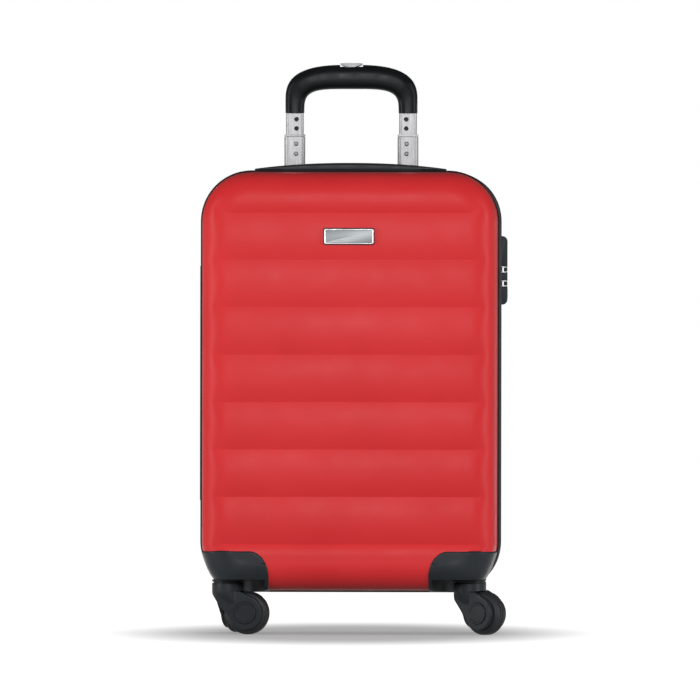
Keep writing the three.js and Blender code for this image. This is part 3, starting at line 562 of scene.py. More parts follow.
# ---- the red shells ----
def shell(side):
    name = "front_shell_skin" if side < 0 else "rear_shell_skin"
    obj = shell_solid(name, side, RED)
    cutters = [housing_cutter(sx, side, -1.5) for sx in (-1, 1)]
    if side > 0:
        dock = cad_box("handle_dock")
        lock = cad_box("lock_body")
        cutters.append(box("c", (dock[0][0] - 0.3, dock[1][0] + 0.3), (dock[0][1] - 0.3, 130), (dock[0][2] - 0.3, 560), RED))
        cutters.append(box("c", (160, 190), (lock[0][1] - 0.3, lock[1][1] + 0.3), (lock[0][2] - 0.3, lock[1][2] + 0.3), RED))
        for word in ("left", "right"):
            low, high = cad_box(f"carry_mount_{word}")
            centre = (math.copysign(CARRY_X, low[0]), (low[1] + high[1]) / 2)
            cutters.append(cylinder("c", "z", BUSH_RADIUS + 0.3, 500, 560, centre, RED))
    boolean(obj, cutters, sharp=32)
    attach(obj, "lid_front" if side < 0 else "case_rear")
    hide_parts("front_shell" if side < 0 else "rear_shell")
    return obj


# ---- wheel housings ----
def housing_proud(points):
    """Raised over the housing's outline with a rounded edge, and sunk under the shell outside it."""
    x, y, z = np.abs(points[:, 0]), np.abs(points[:, 1]), points[:, 2]
    across, down = HOUSING_ROUND
    u, v = (HOUSING_IN_X + across - x) / across, (z - HOUSING_TOP + down) / down
    reach = np.maximum(np.hypot(u, v), 0.01)
    corner = (1 - reach) * reach / np.maximum(np.hypot(u / across, v / down), 0.001)
    edge = np.minimum(x - HOUSING_IN_X, HOUSING_TOP - z)
    inside = np.where((u > 0) & (v > 0), corner, edge)
    inside = np.minimum(inside, y - HOUSING_IN_Y)
    t = np.clip(inside / 2.0, 0, 1)
    flare = HOUSING_FLARE * np.clip((88 - z) / 24, 0, 1) ** 1.4 * np.clip((x - 112) / 26, 0, 1)
    return np.where(inside < 0, -1.0, -1.0 + (HOUSING_PROUD + flare + 1.0) * np.sqrt(1 - (1 - t) ** 2))


def wheel_housing():
    """The front right housing. The others are its mirror images."""
    rows = np.concatenate([
        FACE_LOW + FACE_CORNER * (1 - np.cos(np.radians(np.linspace(0, 55, 34)))),
        np.linspace(FACE_LOW + 12, 99, 14),
        np.linspace(99.5, FACE_LOW + FACE_CORNER, 30),
        FACE_HIGH - FACE_CORNER * (1 - np.sin(np.radians(np.linspace(0, 90, 5)))),
    ])
    rows = np.unique(np.round(rows, 3))
    rows = rows[np.concatenate([[True], np.diff(rows) > 0.2])]
    columns = np.unique(np.concatenate([np.linspace(-1, 0.5, 5), np.linspace(0.55, 0.86, 40), np.linspace(0.87, 1, 14)]))
    skirt = np.concatenate([np.linspace(0.02, 0.9, 44), np.linspace(0.91, 1, 10)])
    body = full_solid("housing", -1, BLACK, 0, HOUSING_IN_Y - 3, rows, columns, levels=26, proud=housing_proud, skirt=skirt)
    region = prism("region", [(x, z) for x, z in housing_outline(0.6)], -125, -(HOUSING_IN_Y - 0.6), BLACK)
    boolean(body, [region], "INTERSECT")
    coarse = np.unique(np.concatenate([FACE_LOW + np.linspace(0, 26, 12), FACE_HIGH - np.linspace(0, 26, 8)]))
    hollow = full_solid("hollow", -1, BLACK, -WALL, RIM_Y - 4, coarse, np.linspace(-1, 1, 5))
    well_wall = cylinder("wall", "z", WELL_RADIUS + 3, 38, WELL_CEILING + 4, (SWIVEL_X, -SWIVEL_Y), BLACK, 96)
    boolean(well_wall, [box("b", (SWIVEL_X - WELL_RADIUS - 3, 185), (-125, -SWIVEL_Y), (38, WELL_CEILING + 4), BLACK)], "UNION")
    kept = copy_of(body, "kept")
    boolean(kept, [well_wall], "INTERSECT")
    boolean(body, [hollow])
    boolean(body, [kept], "UNION")
    well = cylinder("well", "z", WELL_RADIUS, 20, WELL_CEILING, (SWIVEL_X, -SWIVEL_Y), BLACK, 96)
    more = [
        box("b", (SWIVEL_X - WELL_RADIUS, 190), (-130, -SWIVEL_Y), (20, WELL_CEILING), BLACK),
        box("b", (SWIVEL_X, 190), (-130, -(SWIVEL_Y - WELL_RADIUS)), (20, WELL_CEILING), BLACK),
        cylinder("b", "z", 4.4, 50, 80, (SWIVEL_X, -SWIVEL_Y), BLACK),
    ]
    boolean(well, more, "UNION")
    return boolean(body, [well], sharp=30)


# ---- casters ----
def ring_of(radius, centre, start, stop, steps):
    angles = np.radians(np.linspace(start, stop, steps))
    return [(centre[0] + radius * math.cos(a), centre[1] + radius * math.sin(a)) for a in angles]


def soften(obj, voxel, steps):
    """Melt a body's edges and inner corners into soft ones."""
    remesh = obj.modifiers.new("remesh", "REMESH")
    remesh.mode = "VOXEL"
    remesh.voxel_size = voxel * MM
    smooth = obj.modifiers.new("smooth", "SMOOTH")
    smooth.factor = 0.5
    smooth.iterations = steps
    thin = obj.modifiers.new("thin", "DECIMATE")
    thin.ratio = 0.35
    return apply_modifiers(obj, sharp=60)


def fork():
    """Stem and two legs that sweep back to the axle, about the swivel axis."""
    r, edge = STEM_RADIUS, FORK_WIDTH / 2
    disc = ring_of(20, (TRAIL, WHEEL_RADIUS), 195, 419, 44)
    outline = [(-r, 50), (-r, 48.5)] + disc + [(r - 1, 50)]
    legs = prism("fork", outline, -edge, edge, BLACK)
    plan = cylinder("plan", "z", r, -5, 60, (0, 0), BLACK, 96)
    boolean(plan, [box("b", (0, 60), (-20, 20), (-5, 60), BLACK)], "UNION")
    boolean(legs, [plan], "INTERSECT")
    neck = [(59.8, 0, r), (49.5, 0, r), (47, 0.9, r - 0.4), (43.5, 2.9, r - 1.2), (40, 5.4, r - 2.3), (36, 8.6, r - 3.8)]
    rings = [[(x, y, z) for x, y in ring_of(radius, (middle, 0), 0, 356.25, 96)] for z, middle, radius in reversed(neck)]
    boolean(legs, [loft("neck", rings, BLACK)], "UNION")
    soften(legs, 0.75, 9)
    slot = 18 / 2 + 0.8
    cutters = [
        cylinder("c", "y", WHEEL_RADIUS + 1.6, -slot, slot, (TRAIL, WHEEL_RADIUS), BLACK, 72),
        box("c", (TRAIL - 5, TRAIL + 32), (-slot, slot), (-5, WHEEL_RADIUS + 21), BLACK),
        cylinder("c", "y", 2.8, -20, 20, (TRAIL, WHEEL_RADIUS), BLACK, 32),
        cylinder("c", "y", 13.2, edge - 1.2, edge + 3, (TRAIL, WHEEL_RADIUS), BLACK, 72),
        cylinder("c", "y", 13.2, -edge - 3, -edge + 1.2, (TRAIL, WHEEL_RADIUS), BLACK, 72),
    ]
    profile = [(0.01, 52), (r - 2, 52), (r - 0.35, 57), (r - 0.1, 59), (r - 0.5, 59.8), (r - 1.7, 60)]
    profile += [(r - 1.7, 61.1), (r - 0.4, 61.3), (r, 61.8), (r, 63.2), (r - 0.5, 63.7), (0.01, 63.7)]
    stem = lathe("stem", profile, BLACK, steps=96)
    boolean(legs, [stem], "UNION")
    boolean(legs, cutters, sharp=32)
    pin = lathe("pin", [(0.01, 60), (4, 60), (4, 68.3), (7, 68.3), (7, 69.6), (6.6, 70), (0.01, 70)], STEEL, steps=32)
    return join([legs, pin], "fork")


def wheel():
    half, outer = 9.0, WHEEL_RADIUS
    groove = [(outer, -3.4), (outer, -2.3), (outer - 0.7, -2.1), (outer - 0.7, -1.6), (outer, -1.4)]
    mirrored = [(r, -y) for r, y in reversed(groove)]
    shoulder = [(24.9, -4.6), (24.6, -5.8), (24.0, -7.0), (23.0, -8.1), (21.6, -8.8), (20.4, -half)]
    hub = [(19.4, -half), (18.8, -half + 0.7), (12.0, -half + 1.2), (7.5, -half + 0.4), (6.8, -half), (2.85, -half)]
    low = (shoulder + hub)[::-1] + groove
    high = mirrored + [(r, -y) for r, y in shoulder + hub]
    return lathe("wheel", low + high, TYRE, axis="y", steps=96, sharp=30)


def axle():
    parts = [cylinder("axle", "y", 2.5, -14.9, 14.9, (0, 0), STEEL, 32)]
    edge = FORK_WIDTH / 2
    dish = [(0.01, -0.9), (12.3, -0.9), (12.6, -0.5), (12.6, 1.1), (12.2, 1.5), (10.6, 1.5), (9.8, 0.8), (0.01, 0.8)]
    for s in (-1, 1):
        parts.append(lathe("cap", [(r, s * (edge + h - 0.3)) for r, h in dish], BLACK, axis="y", steps=72))
    return join(parts, "axle")


CASTERS = {"front_left": (-1, -1), "front_right": (1, -1), "rear_left": (-1, 1), "rear_right": (1, 1)}


def caster_heading(corner):
    """Angle of a caster's trail from +X, from where its wheel stands in the frame."""
    sx, sy = CASTERS[corner]
    low, high = cad_box("wheel_" + corner)
    middle = (low + high) / 2
    return math.atan2(middle[1] - sy * SWIVEL_Y, middle[0] - sx * SWIVEL_X)


def casters():
    made = {"fork": fork(), "wheel": wheel(), "axle": axle()}
    for corner, (sx, sy) in CASTERS.items():
        base = moved(sx * SWIVEL_X, sy * SWIVEL_Y, 0) @ Matrix.Rotation(caster_heading(corner), 4, "Z")
        for part, source in made.items():
            place = base if part == "fork" else base @ moved(TRAIL, 0, WHEEL_RADIUS)
            piece = copy_of(source, f"{part}_{corner}_fine", place)
            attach(piece, ("wheel_" if part == "wheel" else "caster_") + corner)
            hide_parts(f"{part}_{corner}")
    for source in made.values():
        bpy.data.objects.remove(source)


def housings():
    source = wheel_housing()
    for corner, (sx, sy) in CASTERS.items():
        piece = copy_of(source, f"wheel_housing_{corner}_fine", Matrix.Diagonal((sx, -sy, 1, 1)))
        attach(piece, "lid_front" if sy < 0 else "case_rear")
        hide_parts(f"wheel_housing_{corner}")
    bpy.data.objects.remove(source)


# ---- strips round the rim ----
def rim_path(gap=None, steps=20, straight=6.0):
    """Points round the rim with their outward directions. gap leaves out that stretch of the left side."""
    cx, cz = RIM_HALF_WIDTH - CORNER_RADIUS, (TOP - BOTTOM) / 2 - CORNER_RADIUS
    middle = (TOP + BOTTOM) / 2
    corners = []
    for sx, sz, start in ((-1, -1, 180), (1, -1, 270), (1, 1, 0), (-1, 1, 90)):
        arc = []
        for k in range(steps + 1):
            a = math.radians(start + 90 * k / steps)
            n = np.array([math.cos(a), math.sin(a)])
            arc.append((np.array([sx * cx, middle + sz * cz]) + CORNER_RADIUS * n, n))
        corners.append(arc)
    path = []
    for k, arc in enumerate(corners):
        path += arc
        follower = corners[(k + 1) % 4][0]
        if k == 3 and gap:
            break
        length = np.linalg.norm(follower[0] - arc[-1][0])
        count = int(length / straight)
        path += [(arc[-1][0] + (follower[0] - arc[-1][0]) * i / count, arc[-1][1]) for i in range(1, count)]
    if not gap:
        return path
    left = np.array([-1.0, 0.0])

    def run(z0, z1):
        count = max(2, int(abs(z1 - z0) / straight))
        return [(np.array([-RIM_HALF_WIDTH, z0 + (z1 - z0) * i / count]), left) for i in range(count + 1)]

    return run(gap[0], corners[0][0][0][1])[:-1] + path + run(corners[3][-1][0][1], gap[1])[1:]


def rim_strip(name, section, material, path, closed, flush=1.0, lock_side=1.0):
    """flush scales how far the strip stands out of the rim, and lock_side how far it does on the lock's side."""
    rings = []
    for p, n in path:
        proud = flush + (lock_side - flush) * float(smoothstep(0.35, 1.0, n[0]))
        outs = [(out * proud if out > 0 else out, y) for out, y in section]
        rings.append([(p[0] + n[0] * out, y, p[1] + n[1] * out) for out, y in outs])
    return loft(name, rings, material, closed_path=closed, sharp=45)


def trims():
    hinge = cad_box("hinge_leaf_rear")
    gap = (hinge[0][2] - 5, hinge[1][2] + 5)
    lock = cad_box("lock_body")
    for side, half, body in ((-1, "front", "lid_front"), (1, "rear", "case_rear")):
        bead = [(0.55, 12.8), (1.3, 13.0), (2.0, 12.6), (2.55, 11.6), (2.9, 10.2), (3.0, 8.6), (2.9, 7.0), (2.5, 5.6), (1.8, 4.6)]
        trim = [(-3.2, 7.7), (0.4, 7.7), (0.4, 12.4), *bead, (0.8, 4.3), (-3.2, 4.3)]
        tape = [(-4.7, 13), (-3.7, 13), (-3.7, 0.6), (-4.7, 0.6)]
        pieces = {
            "edge_trim": rim_strip(f"{half}_trim_fine", [(o, side * y) for o, y in trim], BAND, rim_path(), True, 0.55, 1.4),
            "zip_tape": rim_strip(f"{half}_tape_fine", [(o, side * y) for o, y in tape], TAPE, rim_path(gap), False),
            "zip_coil": zip_coil(f"{half}_coil_fine", side, gap),
        }
        for node, piece in pieces.items():
            if side > 0 and node != "zip_coil":
                ys = (lock[0][1] - 0.3, lock[1][1] + 0.3)
                boolean(piece, [box("c", (160, 190), ys, (lock[0][2] - 0.3, lock[1][2] + 0.3), BAND)], sharp=45)
            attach(piece, body)
            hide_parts(f"{half}_{node}")


def zip_coil(name, side, gap):
    """The bead that carries the teeth, and one tooth each 1.7 mm, set half a pitch off on the other half."""
    path = rim_path(gap, straight=4)
    bead = [(-3.2, 3.5), (-0.9, 3.4), (-0.5, 2.9), (-0.5, 2.3), (-0.9, 1.8), (-3.2, 1.7)]
    base = rim_strip(name, [(o, side * y) for o, y in bead], BLACK, path, False)
    points = np.array([p for p, _ in path])
    directions = np.array([n for _, n in path])
    length = np.concatenate([[0], np.cumsum(np.linalg.norm(np.diff(points, axis=0), axis=1))])
    pitch = 1.7
    stations = np.arange(2 + (pitch / 2 if side > 0 else 0), length[-1] - 2, pitch)
    vertices, faces = [], []
    corners = [(-1, 0, 0), (1, 0, 0), (1, 1, 0), (-1, 1, 0), (-1, 0, 1), (1, 0, 1), (1, 1, 1), (-1, 1, 1)]
    sides = [(0, 3, 2, 1), (4, 5, 6, 7), (0, 1, 5, 4), (1, 2, 6, 5), (2, 3, 7, 6), (3, 0, 4, 7)]
    for s in stations:
        p = np.array([np.interp(s, length, points[:, i]) for i in (0, 1)])
        n = np.array([np.interp(s, length, directions[:, i]) for i in (0, 1)])
        n /= np.linalg.norm(n)
        along = np.array([-n[1], n[0]])
        first = len(vertices)
        for a, b, c in corners:
            out, y = -1.6 + 2.2 * b, side * (0.25 + 2.9 * c)
            xz = p + n * out + along * a * 0.5 * (0.75 if b else 1)
            vertices.append((xz[0], y, xz[1]))
        faces += [tuple(first + i for i in f) for f in sides]
    teeth = face_outward(mesh_object("teeth", vertices, faces, BLACK, smooth=False), None)
    return join([base, teeth], name)


def fabric_hinge():
    """One woven strip down the left side, stitched to both halves."""
    low, high = cad_box("hinge_leaf_front")
    rear_high = cad_box("hinge_leaf_rear")[1]
    ys = np.linspace(low[1] + 0.2, rear_high[1] - 0.2, 41)
    zs = np.linspace(low[2] + 0.3, high[2] - 0.3, 140)
    face = -RIM_HALF_WIDTH - 2.2
    outer = face + 0.12 + 0.35 * np.exp(-((np.abs(ys) - 9.6) / 0.45) ** 2) + 0.2 * np.exp(-(ys / 2.2) ** 2)
    rings = []
    for z in zs:
        front = [(o, y, z) for o, y in zip(outer, ys)]
        back = [(face + 0.7, y, z) for y in ys[::-1]]
        rings.append(front + back)
    strip = loft("hinge_fabric", rings, TAPE, sharp=60)
    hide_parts("hinge_leaf_front", "hinge_leaf_rear")
    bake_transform(strip)


# ---- telescopic handle ----
def tube(name, room, wall, x):
    (width, depth, _), low, high = room[1] - room[0], room[0][2], room[1][2]
    corner = depth * 0.34
    outside = rounded_rect(width, depth, corner, x, TUBE_Y, 10)
    inside = rounded_rect(width - 2 * wall, depth - 2 * wall, corner - wall, x, TUBE_Y, 10)
    lip = 0.35
    shrink = rounded_rect(width - 2 * lip, depth - 2 * lip, corner - lip, x, TUBE_Y, 10)
    rings = [[(px, py, low) for px, py in outside], [(px, py, high - lip) for px, py in outside]]
    rings += [[(px, py, high) for px, py in shrink], [(px, py, high) for px, py in inside]]
    rings += [[(px, py, low) for px, py in inside]]
    return loft(name, rings, ALUMINIUM, closed_path=True, sharp=35)


def stud(x, z, face_y, radius, height, material, hollow):
    """A rivet head, or a recessed screw, on the tube's front or back face."""
    sign = math.copysign(1, face_y)
    reach = abs(face_y)
    if hollow:
        profile = [(0.01, 0.05), (radius * 0.45, 0.05), (radius * 0.5, 0.3), (radius, 0.4), (radius, -0.5), (0.01, -0.5)]
    else:
        dome = [(radius * math.cos(a), height * math.sin(a)) for a in np.radians([90, 70, 50, 30, 10, 0])]
        profile = [(max(r, 0.01), h) for r, h in dome] + [(radius, -0.5), (0.01, -0.5)]
    obj = lathe("stud", [(r, sign * (reach + h)) for r, h in profile], material, axis="y", steps=28)
    return transform(obj, moved(x, TUBE_Y, z))


def handle_tubes():
    for word, s in (("left", -1), ("right", 1)):
        x = s * TUBE_X
        outer, middle, inner = (cad_box(f"{kind}_tube_{word}") for kind in ("outer", "middle", "inner"))
        pieces = [
            ("outer", tube("t", outer, 1.2, x), "case_rear"),
            ("middle", tube("t", middle, 1, x), "handle_middle"),
            ("inner", tube("t", inner, 1, x), "handle_grip"),
        ]
        studs = {"middle": [], "inner": []}
        grip_bottom = cad_box("grip")[0][2]
        for face in (-1, 1):
            for drop in (11.1, 22.8):
                spot = (x - s * 1.6, middle[1][2] + 2.6 - drop, face * (middle[1][1] - TUBE_Y))
                studs["middle"].append(stud(*spot, 2.7, 0.6, RIVET, False))
            for drop in (7.1, 17.8):
                spot = (x - s * 2, grip_bottom - drop, face * (inner[1][1] - TUBE_Y))
                studs["inner"].append(stud(*spot, 2.7, 0.5, GLOSS_BLACK, True))
        for kind, obj, body in pieces:
            obj = join([obj, *studs.get(kind, [])], f"{kind}_tube_{word}_fine")
            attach(obj, body)
            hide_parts(f"{kind}_tube_{word}")


def arch_point(arch, degrees):
    """A point on one of the grip's outlines: reach, spring height, top and power of a superellipse."""
    reach, spring, top, power = arch
    across, up = (max(f(math.radians(degrees)), 0) ** (2 / power) for f in (math.cos, math.sin))
    return -reach * across, spring + (top - spring) * up


def grip():
    """Rounded sections swept up one leg, over the bar and down the other, hollowed for the tubes and button."""
    low, high = cad_box("grip")
    crown = cad_box("release_button")[1][2] - 1.9
    outer, inner = (high[0], 622, crown, 2.85), (55.2, 606, crown - 28.6, 4.2)
    pairs = [((-high[0], low[2] + h), (-55.2, low[2] + h)) for h in (0, 0.25, 0.6)]
    pairs = [((o[0] + inset, o[1]), (i[0] - inset, i[1])) for (o, i), inset in zip(pairs, (0.6, 0.15, 0))]
    turn = np.concatenate([np.linspace(0, 30, 25), np.linspace(32, 90, 30)])
    pairs += [(arch_point(outer, a), arch_point(inner, 3 * (1 - a / 90) + a)) for a in turn]
    pairs += [((-o[0], o[1]), (-i[0], i[1])) for o, i in reversed(pairs[:-1])]
    rings = []
    for k, (o, i) in enumerate(pairs):
        share = min(k, len(pairs) - 1 - k) / (len(pairs) / 2)
        deep = 9.2 + 3.4 * float(smoothstep(0.08, 0.8, share))
        ring = []
        for m in range(48):
            b = 2 * math.pi * (m + 0.5) / 48
            cos, sin = (math.copysign(abs(v) ** 0.74, v) for v in (math.cos(b), math.sin(b)))
            t = (1 + cos) / 2
            ring.append((i[0] + (o[0] - i[0]) * t, TUBE_Y + deep * sin, i[1] + (o[1] - i[1]) * t))
        rings.append(ring)
    obj = loft("grip_fine", rings, GLOSS_BLACK, sharp=50)
    cutters = []
    for s in (-1, 1):
        x = s * TUBE_X
        cutters.append(prism("c", rounded_rect(21.4, 11.4, 4, x, TUBE_Y), low[2] - 5, low[2] + 12.3, BLACK, axis="z"))
    for drop, deep in ((0.3, 20), (BUTTON_TRAVEL + 0.5, BUTTON_DEEP + 0.4)):
        notch = [(x * 1.03, z - drop) for x, z in button_belly()]
        cutters.append(prism("c", [(13.6, 680), (-13.6, 680), *notch], TUBE_Y - deep, TUBE_Y + deep, BLACK))
    boolean(obj, cutters, sharp=40)
    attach(obj, "handle_grip")
    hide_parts("grip")


BUTTON_TRAVEL = 3.8
BUTTON_DEEP = 8.4  # half its depth, front to back, inside the bar's walls


def button_belly():
    """The button's lower edge, a shallow bow let into the bar."""
    top = cad_box("release_button")[1][2]
    return [(13 * math.cos(a), top - 1.2 - 3.8 * abs(math.sin(a)) ** 1.3) for a in np.linspace(math.pi, 2 * math.pi, 30)]


def release_button():
    """A silver lens let into the top of the bar."""
    high = cad_box("release_button")[1][2]
    outline = [(x, high - 0.5 * (x / 13) ** 4) for x in np.linspace(12.7, -12.7, 24)] + button_belly()
    middle = np.mean(outline, axis=0)
    rings = []
    for side, back, inset in ((-1, 0, 0.16), (-1, 0.4, 0.06), (-1, 1.3, 0), (1, 1.3, 0), (1, 0.4, 0.06), (1, 0, 0.16)):
        y = TUBE_Y + side * (BUTTON_DEEP - back)
        rings.append([(x, y, z) for x, z in middle + (np.array(outline) - middle) * (1 - inset)])
    obj = loft("release_button_fine", rings, SILVER, sharp=40)
    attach(obj, "handle_release")
    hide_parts("release_button")


def carry_handle():
    low, high = cad_box("carry_handle")
    reach = high[0]
    y_low, y_high = cad_box("carry_handle")[0][1], cad_box("carry_handle")[1][1]
    foot = cad_box("carry_mount_left")[1][2]
    middle, half_depth = (y_low + y_high) / 2, (y_high - y_low) / 2
    rings = []
    for u in np.linspace(-1, 1, 81):
        x = reach * math.copysign(1 - (1 - abs(u)) ** 1.15, u)
        bow = abs(x / reach) ** 2.2
        top = high[2] - 7 * bow
        under = foot + 0.4 - 1.3 * (1 - float(smoothstep(78, 85, abs(x))))
        ends = math.sqrt(max(0.0, 1 - max(0.0, (abs(x) - reach + 9) / 9) ** 2))
        depth = half_depth * (0.55 + 0.45 * ends)
        rise = (top - under) / 2
        ring = []
        for k in range(32):
            b = 2 * math.pi * (k + 0.5) / 32
            cos, sin = (math.copysign(abs(v) ** 0.42, v) for v in (math.cos(b), math.sin(b)))
            ring.append((x, middle + depth * cos, (top + under) / 2 + rise * sin))
        rings.append(ring)
    obj = loft("carry_handle_fine", rings, BLACK, sharp=50)
    posts = [cylinder("post", "z", 3.6, low[2], foot + 2.4, (s * CARRY_X, middle), BLACK) for s in (-1, 1)]
    boolean(obj, posts, "UNION", sharp=50)
    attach(obj, "carry_handle")
    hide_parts("carry_handle")


def handle_dock():
    """The recess that the grip drops into, with rounded edges and two mouths for the tubes."""
    low, high = cad_box("handle_dock")
    rows, columns = shell_rows(10), np.linspace(-1, 1, 17)
    body = full_solid("handle_dock_fine", 1, BLACK, 0.6, 20, rows, columns)
    block = box("b", (low[0], high[0]), (low[1], 118), (low[2], 560), BLACK)
    boolean(body, [block], "INTERSECT")
    tray = prism("c", rounded_rect(170, 33, 8, 0, TUBE_Y, 10), 512, 570, BLACK, axis="z")
    bevel(tray, 3, 4, angle=60)
    cutters = [tray]
    for s in (-1, 1):
        cutters.append(prism("c", rounded_rect(28, 22, 8, s * TUBE_X, TUBE_Y), 488, 570, BLACK, axis="z"))
        cutters.append(prism("c", rounded_rect(36, 24, 8, s * (TUBE_X - 4), TUBE_Y), 502, 570, BLACK, axis="z"))
        cutters.append(prism("c", rounded_rect(29.6, 19, 6.4, s * TUBE_X, TUBE_Y), 470, 489.3, BLACK, axis="z"))
    boolean(body, cutters, sharp=30)
    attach(body, "case_rear")
    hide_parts("handle_dock")


# ---- badge ----
def badge():
    low, high = cad_box("badge_plate")
    z = (low[2] + high[2]) / 2
    width, height = high[0] - low[0], high[2] - low[2]
    levels = [(0, 0), (0, 1.5), (0.35, 2.0), (0.8, 2.2), (1.3, 2.1), (1.7, 1.5), (1.9, 1.2)]
    rings = []
    for inset, rise in levels:
        outline = rounded_rect(width - 2 * inset, height - 2 * inset, max(0.3, 1.8 - inset), 0, z, 6)
        rings.append([(x, high[1] - rise, zz) for x, zz in outline])
    obj = loft("badge_plate_fine", rings, PLATE_RIM_PAINTED_HIGHLIGHT, sharp=50)
    # The bevels and sides keep the lighter silver, a painted highlight round the rim; the flat face gets the plain
    # silver.
    obj.data.materials.append(SILVER)
    for polygon in obj.data.polygons:
        if len(polygon.vertices) > 4 and polygon.center.y < (high[1] - 0.5) * MM:
            polygon.material_index = 1
    # A black ring just proud of the shell round the plate: painted shade standing in for the shadow line under the
    # raised plate.
    shadow_ring = prism("shadow_ring", rounded_rect(width + 2.2, height + 2.2, 2.6, 0, z, 8), -110.35, -108.6, BLACK)
    bevel(shadow_ring, 0.3, 2)
    for piece in (obj, shadow_ring):
        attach(piece, "lid_front")
    shadow_ring.name = "badge_shadow_ring"
    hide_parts("badge_plate")


# ---- lock ----
def lock():
    low, high = cad_box("lock_body")
    out = high[0]
    outline = [(167, low[2]), *ring_of(6, (out - 6, low[2] + 6), -90, 0, 10)]
    for word in ("lower", "upper"):
        pull = cad_box(f"zip_pull_{word}")
        z = (pull[0][2] + pull[1][2]) / 2
        outline += [(out, z - 2.6), (177.4, z - 2.6), (177.4, z + 2.6), (out, z + 2.6)]
    outline += [*ring_of(6, (out - 6, high[2] - 6), 0, 90, 10), (167, high[2])]
    body = prism("lock_body_fine", outline, low[1], high[1], BLACK)
    bevel(body, 1.1, 3, angle=50)
    cutters = []
    centre_y = 17
    for n in (1, 2, 3):
        dial = cad_box(f"lock_dial_{n}")
        x, z = (dial[0][0] + dial[1][0]) / 2, (dial[0][2] + dial[1][2]) / 2
        cutters.append(cylinder("c", "z", 6.5, z - 3, z + 3, (x, centre_y), BLACK, 48))
    cutters.append(box("c", (out - 2.4, 195), (centre_y - 5, centre_y + 5), (387.5, 402.5), BLACK))
    boolean(body, cutters, sharp=32)
    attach(body, "case_rear")
    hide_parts("lock_body")
    for n in (1, 2, 3):
        lock_dial(n)
    slide = cad_box("lock_release")
    knob = box("lock_release_fine", (slide[0][0], slide[1][0]), (slide[0][1], slide[1][1]), (slide[0][2], slide[1][2]), SILVER)
    bevel(knob, 0.5, 3)
    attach(knob, "lock_release")
    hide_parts("lock_release")


def lock_dial(number):
    """A knurled number wheel with ten plain digits."""
    low, high = cad_box(f"lock_dial_{number}")
    centre = (low + high) / 2
    radius = (high[0] - low[0]) / 2
    rings = []
    steps = 120
    for k in range(steps):
        a = 2 * math.pi * k / steps
        bite = 0.32 * smoothstep(0.55, 1.0, math.cos(10 * (a + math.pi / 10)))
        profile = [(1.9, -2.6), (radius - 0.7, -2.6), (radius - 0.2 - bite, -2.2), (radius - bite, -1.5)]
        profile += [(radius - bite, 1.5), (radius - 0.2 - bite, 2.2), (radius - 0.7, 2.6), (1.9, 2.6)]
        rings.append([(centre[0] + r * math.cos(a), centre[1] + r * math.sin(a), centre[2] + h) for r, h in profile])
    wheel_body = loft("dial", rings, BLACK, closed_path=True, sharp=40)
    parts = [wheel_body]
    for digit in range(10):
        curve = bpy.data.curves.new("digit", "FONT")
        curve.body = str((digit + number) % 10)
        curve.size = 3.6 * MM
        curve.align_x, curve.align_y = "CENTER", "CENTER"
        curve.extrude = 0.06 * MM
        curve.resolution_u = 2
        label = bpy.data.objects.new("digit", curve)
        bpy.context.scene.collection.objects.link(label)
        graph = bpy.context.evaluated_depsgraph_get()
        mesh = bpy.data.meshes.new_from_object(label.evaluated_get(graph))
        bpy.data.objects.remove(label)
        mesh.materials.append(DIGIT)
        a = 2 * math.pi * digit / 10
        upright = Matrix(((0, 0, 1, 0), (1, 0, 0, 0), (0, 1, 0, 0), (0, 0, 0, 1)))
        flat = bpy.data.objects.new("digit", mesh)
        bpy.context.scene.collection.objects.link(flat)
        turn = moved(*centre) @ Matrix.Rotation(a, 4, "Z") @ moved(radius + 0.02, 0, 0) @ upright
        parts.append(transform(flat, turn))
    obj = join(parts, f"lock_dial_{number}_fine")
    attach(obj, f"dial_{number}")
    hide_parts(f"lock_dial_{number}")


def lining(side):
    """Thin sewn polyester over the inside of a half, stepped over the wheel wells and the handle tubes."""
    half = "front" if side < 0 else "rear"
    rows = np.unique(np.concatenate([
        FACE_LOW + FACE_CORNER * (1 - np.cos(np.radians(np.linspace(0, 90, 14)))),
        np.linspace(FACE_LOW + FACE_CORNER, FACE_HIGH - FACE_CORNER, 40),
        FACE_HIGH - FACE_CORNER * (1 - np.cos(np.radians(np.linspace(0, 90, 14)))),
    ]).round(4))
    columns = np.linspace(-1, 1, 31)
    rim = RIM_Y + 5.4
    outer = full_solid(f"{half}_lining_fine", side, LINING, -WALL - 1.2, rim, rows, columns)
    inner = full_solid("inner", side, LINING, -WALL - 2.3, rim - 4, rows, columns)
    for grow, target in ((1.0, outer), (2.1, inner)):
        cutters = []
        for sx in (-1, 1):
            xs = sorted((sx * (HOUSING_IN_X - 3 - grow), sx * 190))
            ys = sorted((side * (HOUSING_IN_Y - 3 - grow), side * 130))
            block = box("c", xs, ys, (30, HOUSING_TOP + grow), LINING)
            bevel(block, 7, 5, angle=50)
            cutters.append(block)
        if side > 0:
            width, depth = 90 + (1.2 if grow > 1 else 0), TUBE_Y - 17.5 - (1.1 if grow > 1 else 0)
            block = box("c", (-width, width), (depth, 130), (20, 560), LINING)
            bevel(block, 5, 4, angle=50)
            cutters.append(block)
            if grow == 1.0:
                lock_low, lock_high = cad_box("lock_body")
                cutters.append(box("c", (160, 190), (lock_low[1] - 0.3, lock_high[1] + 0.3), (lock_low[2] - 0.3, lock_high[2] + 0.3), LINING))
        boolean(target, cutters, sharp=35)
    if side > 0:
        for word in ("left", "right"):
            low, high = cad_box(f"carry_mount_{word}")
            centre = (math.copysign(CARRY_X, low[0]), (low[1] + high[1]) / 2)
            boolean(outer, [cylinder("c", "z", BUSH_RADIUS + 0.5, 500, 560, centre, LINING)], sharp=35)
    boolean(outer, [inner], sharp=35)
    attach(outer, "lid_front" if side < 0 else "case_rear")
    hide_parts(f"{half}_lining")


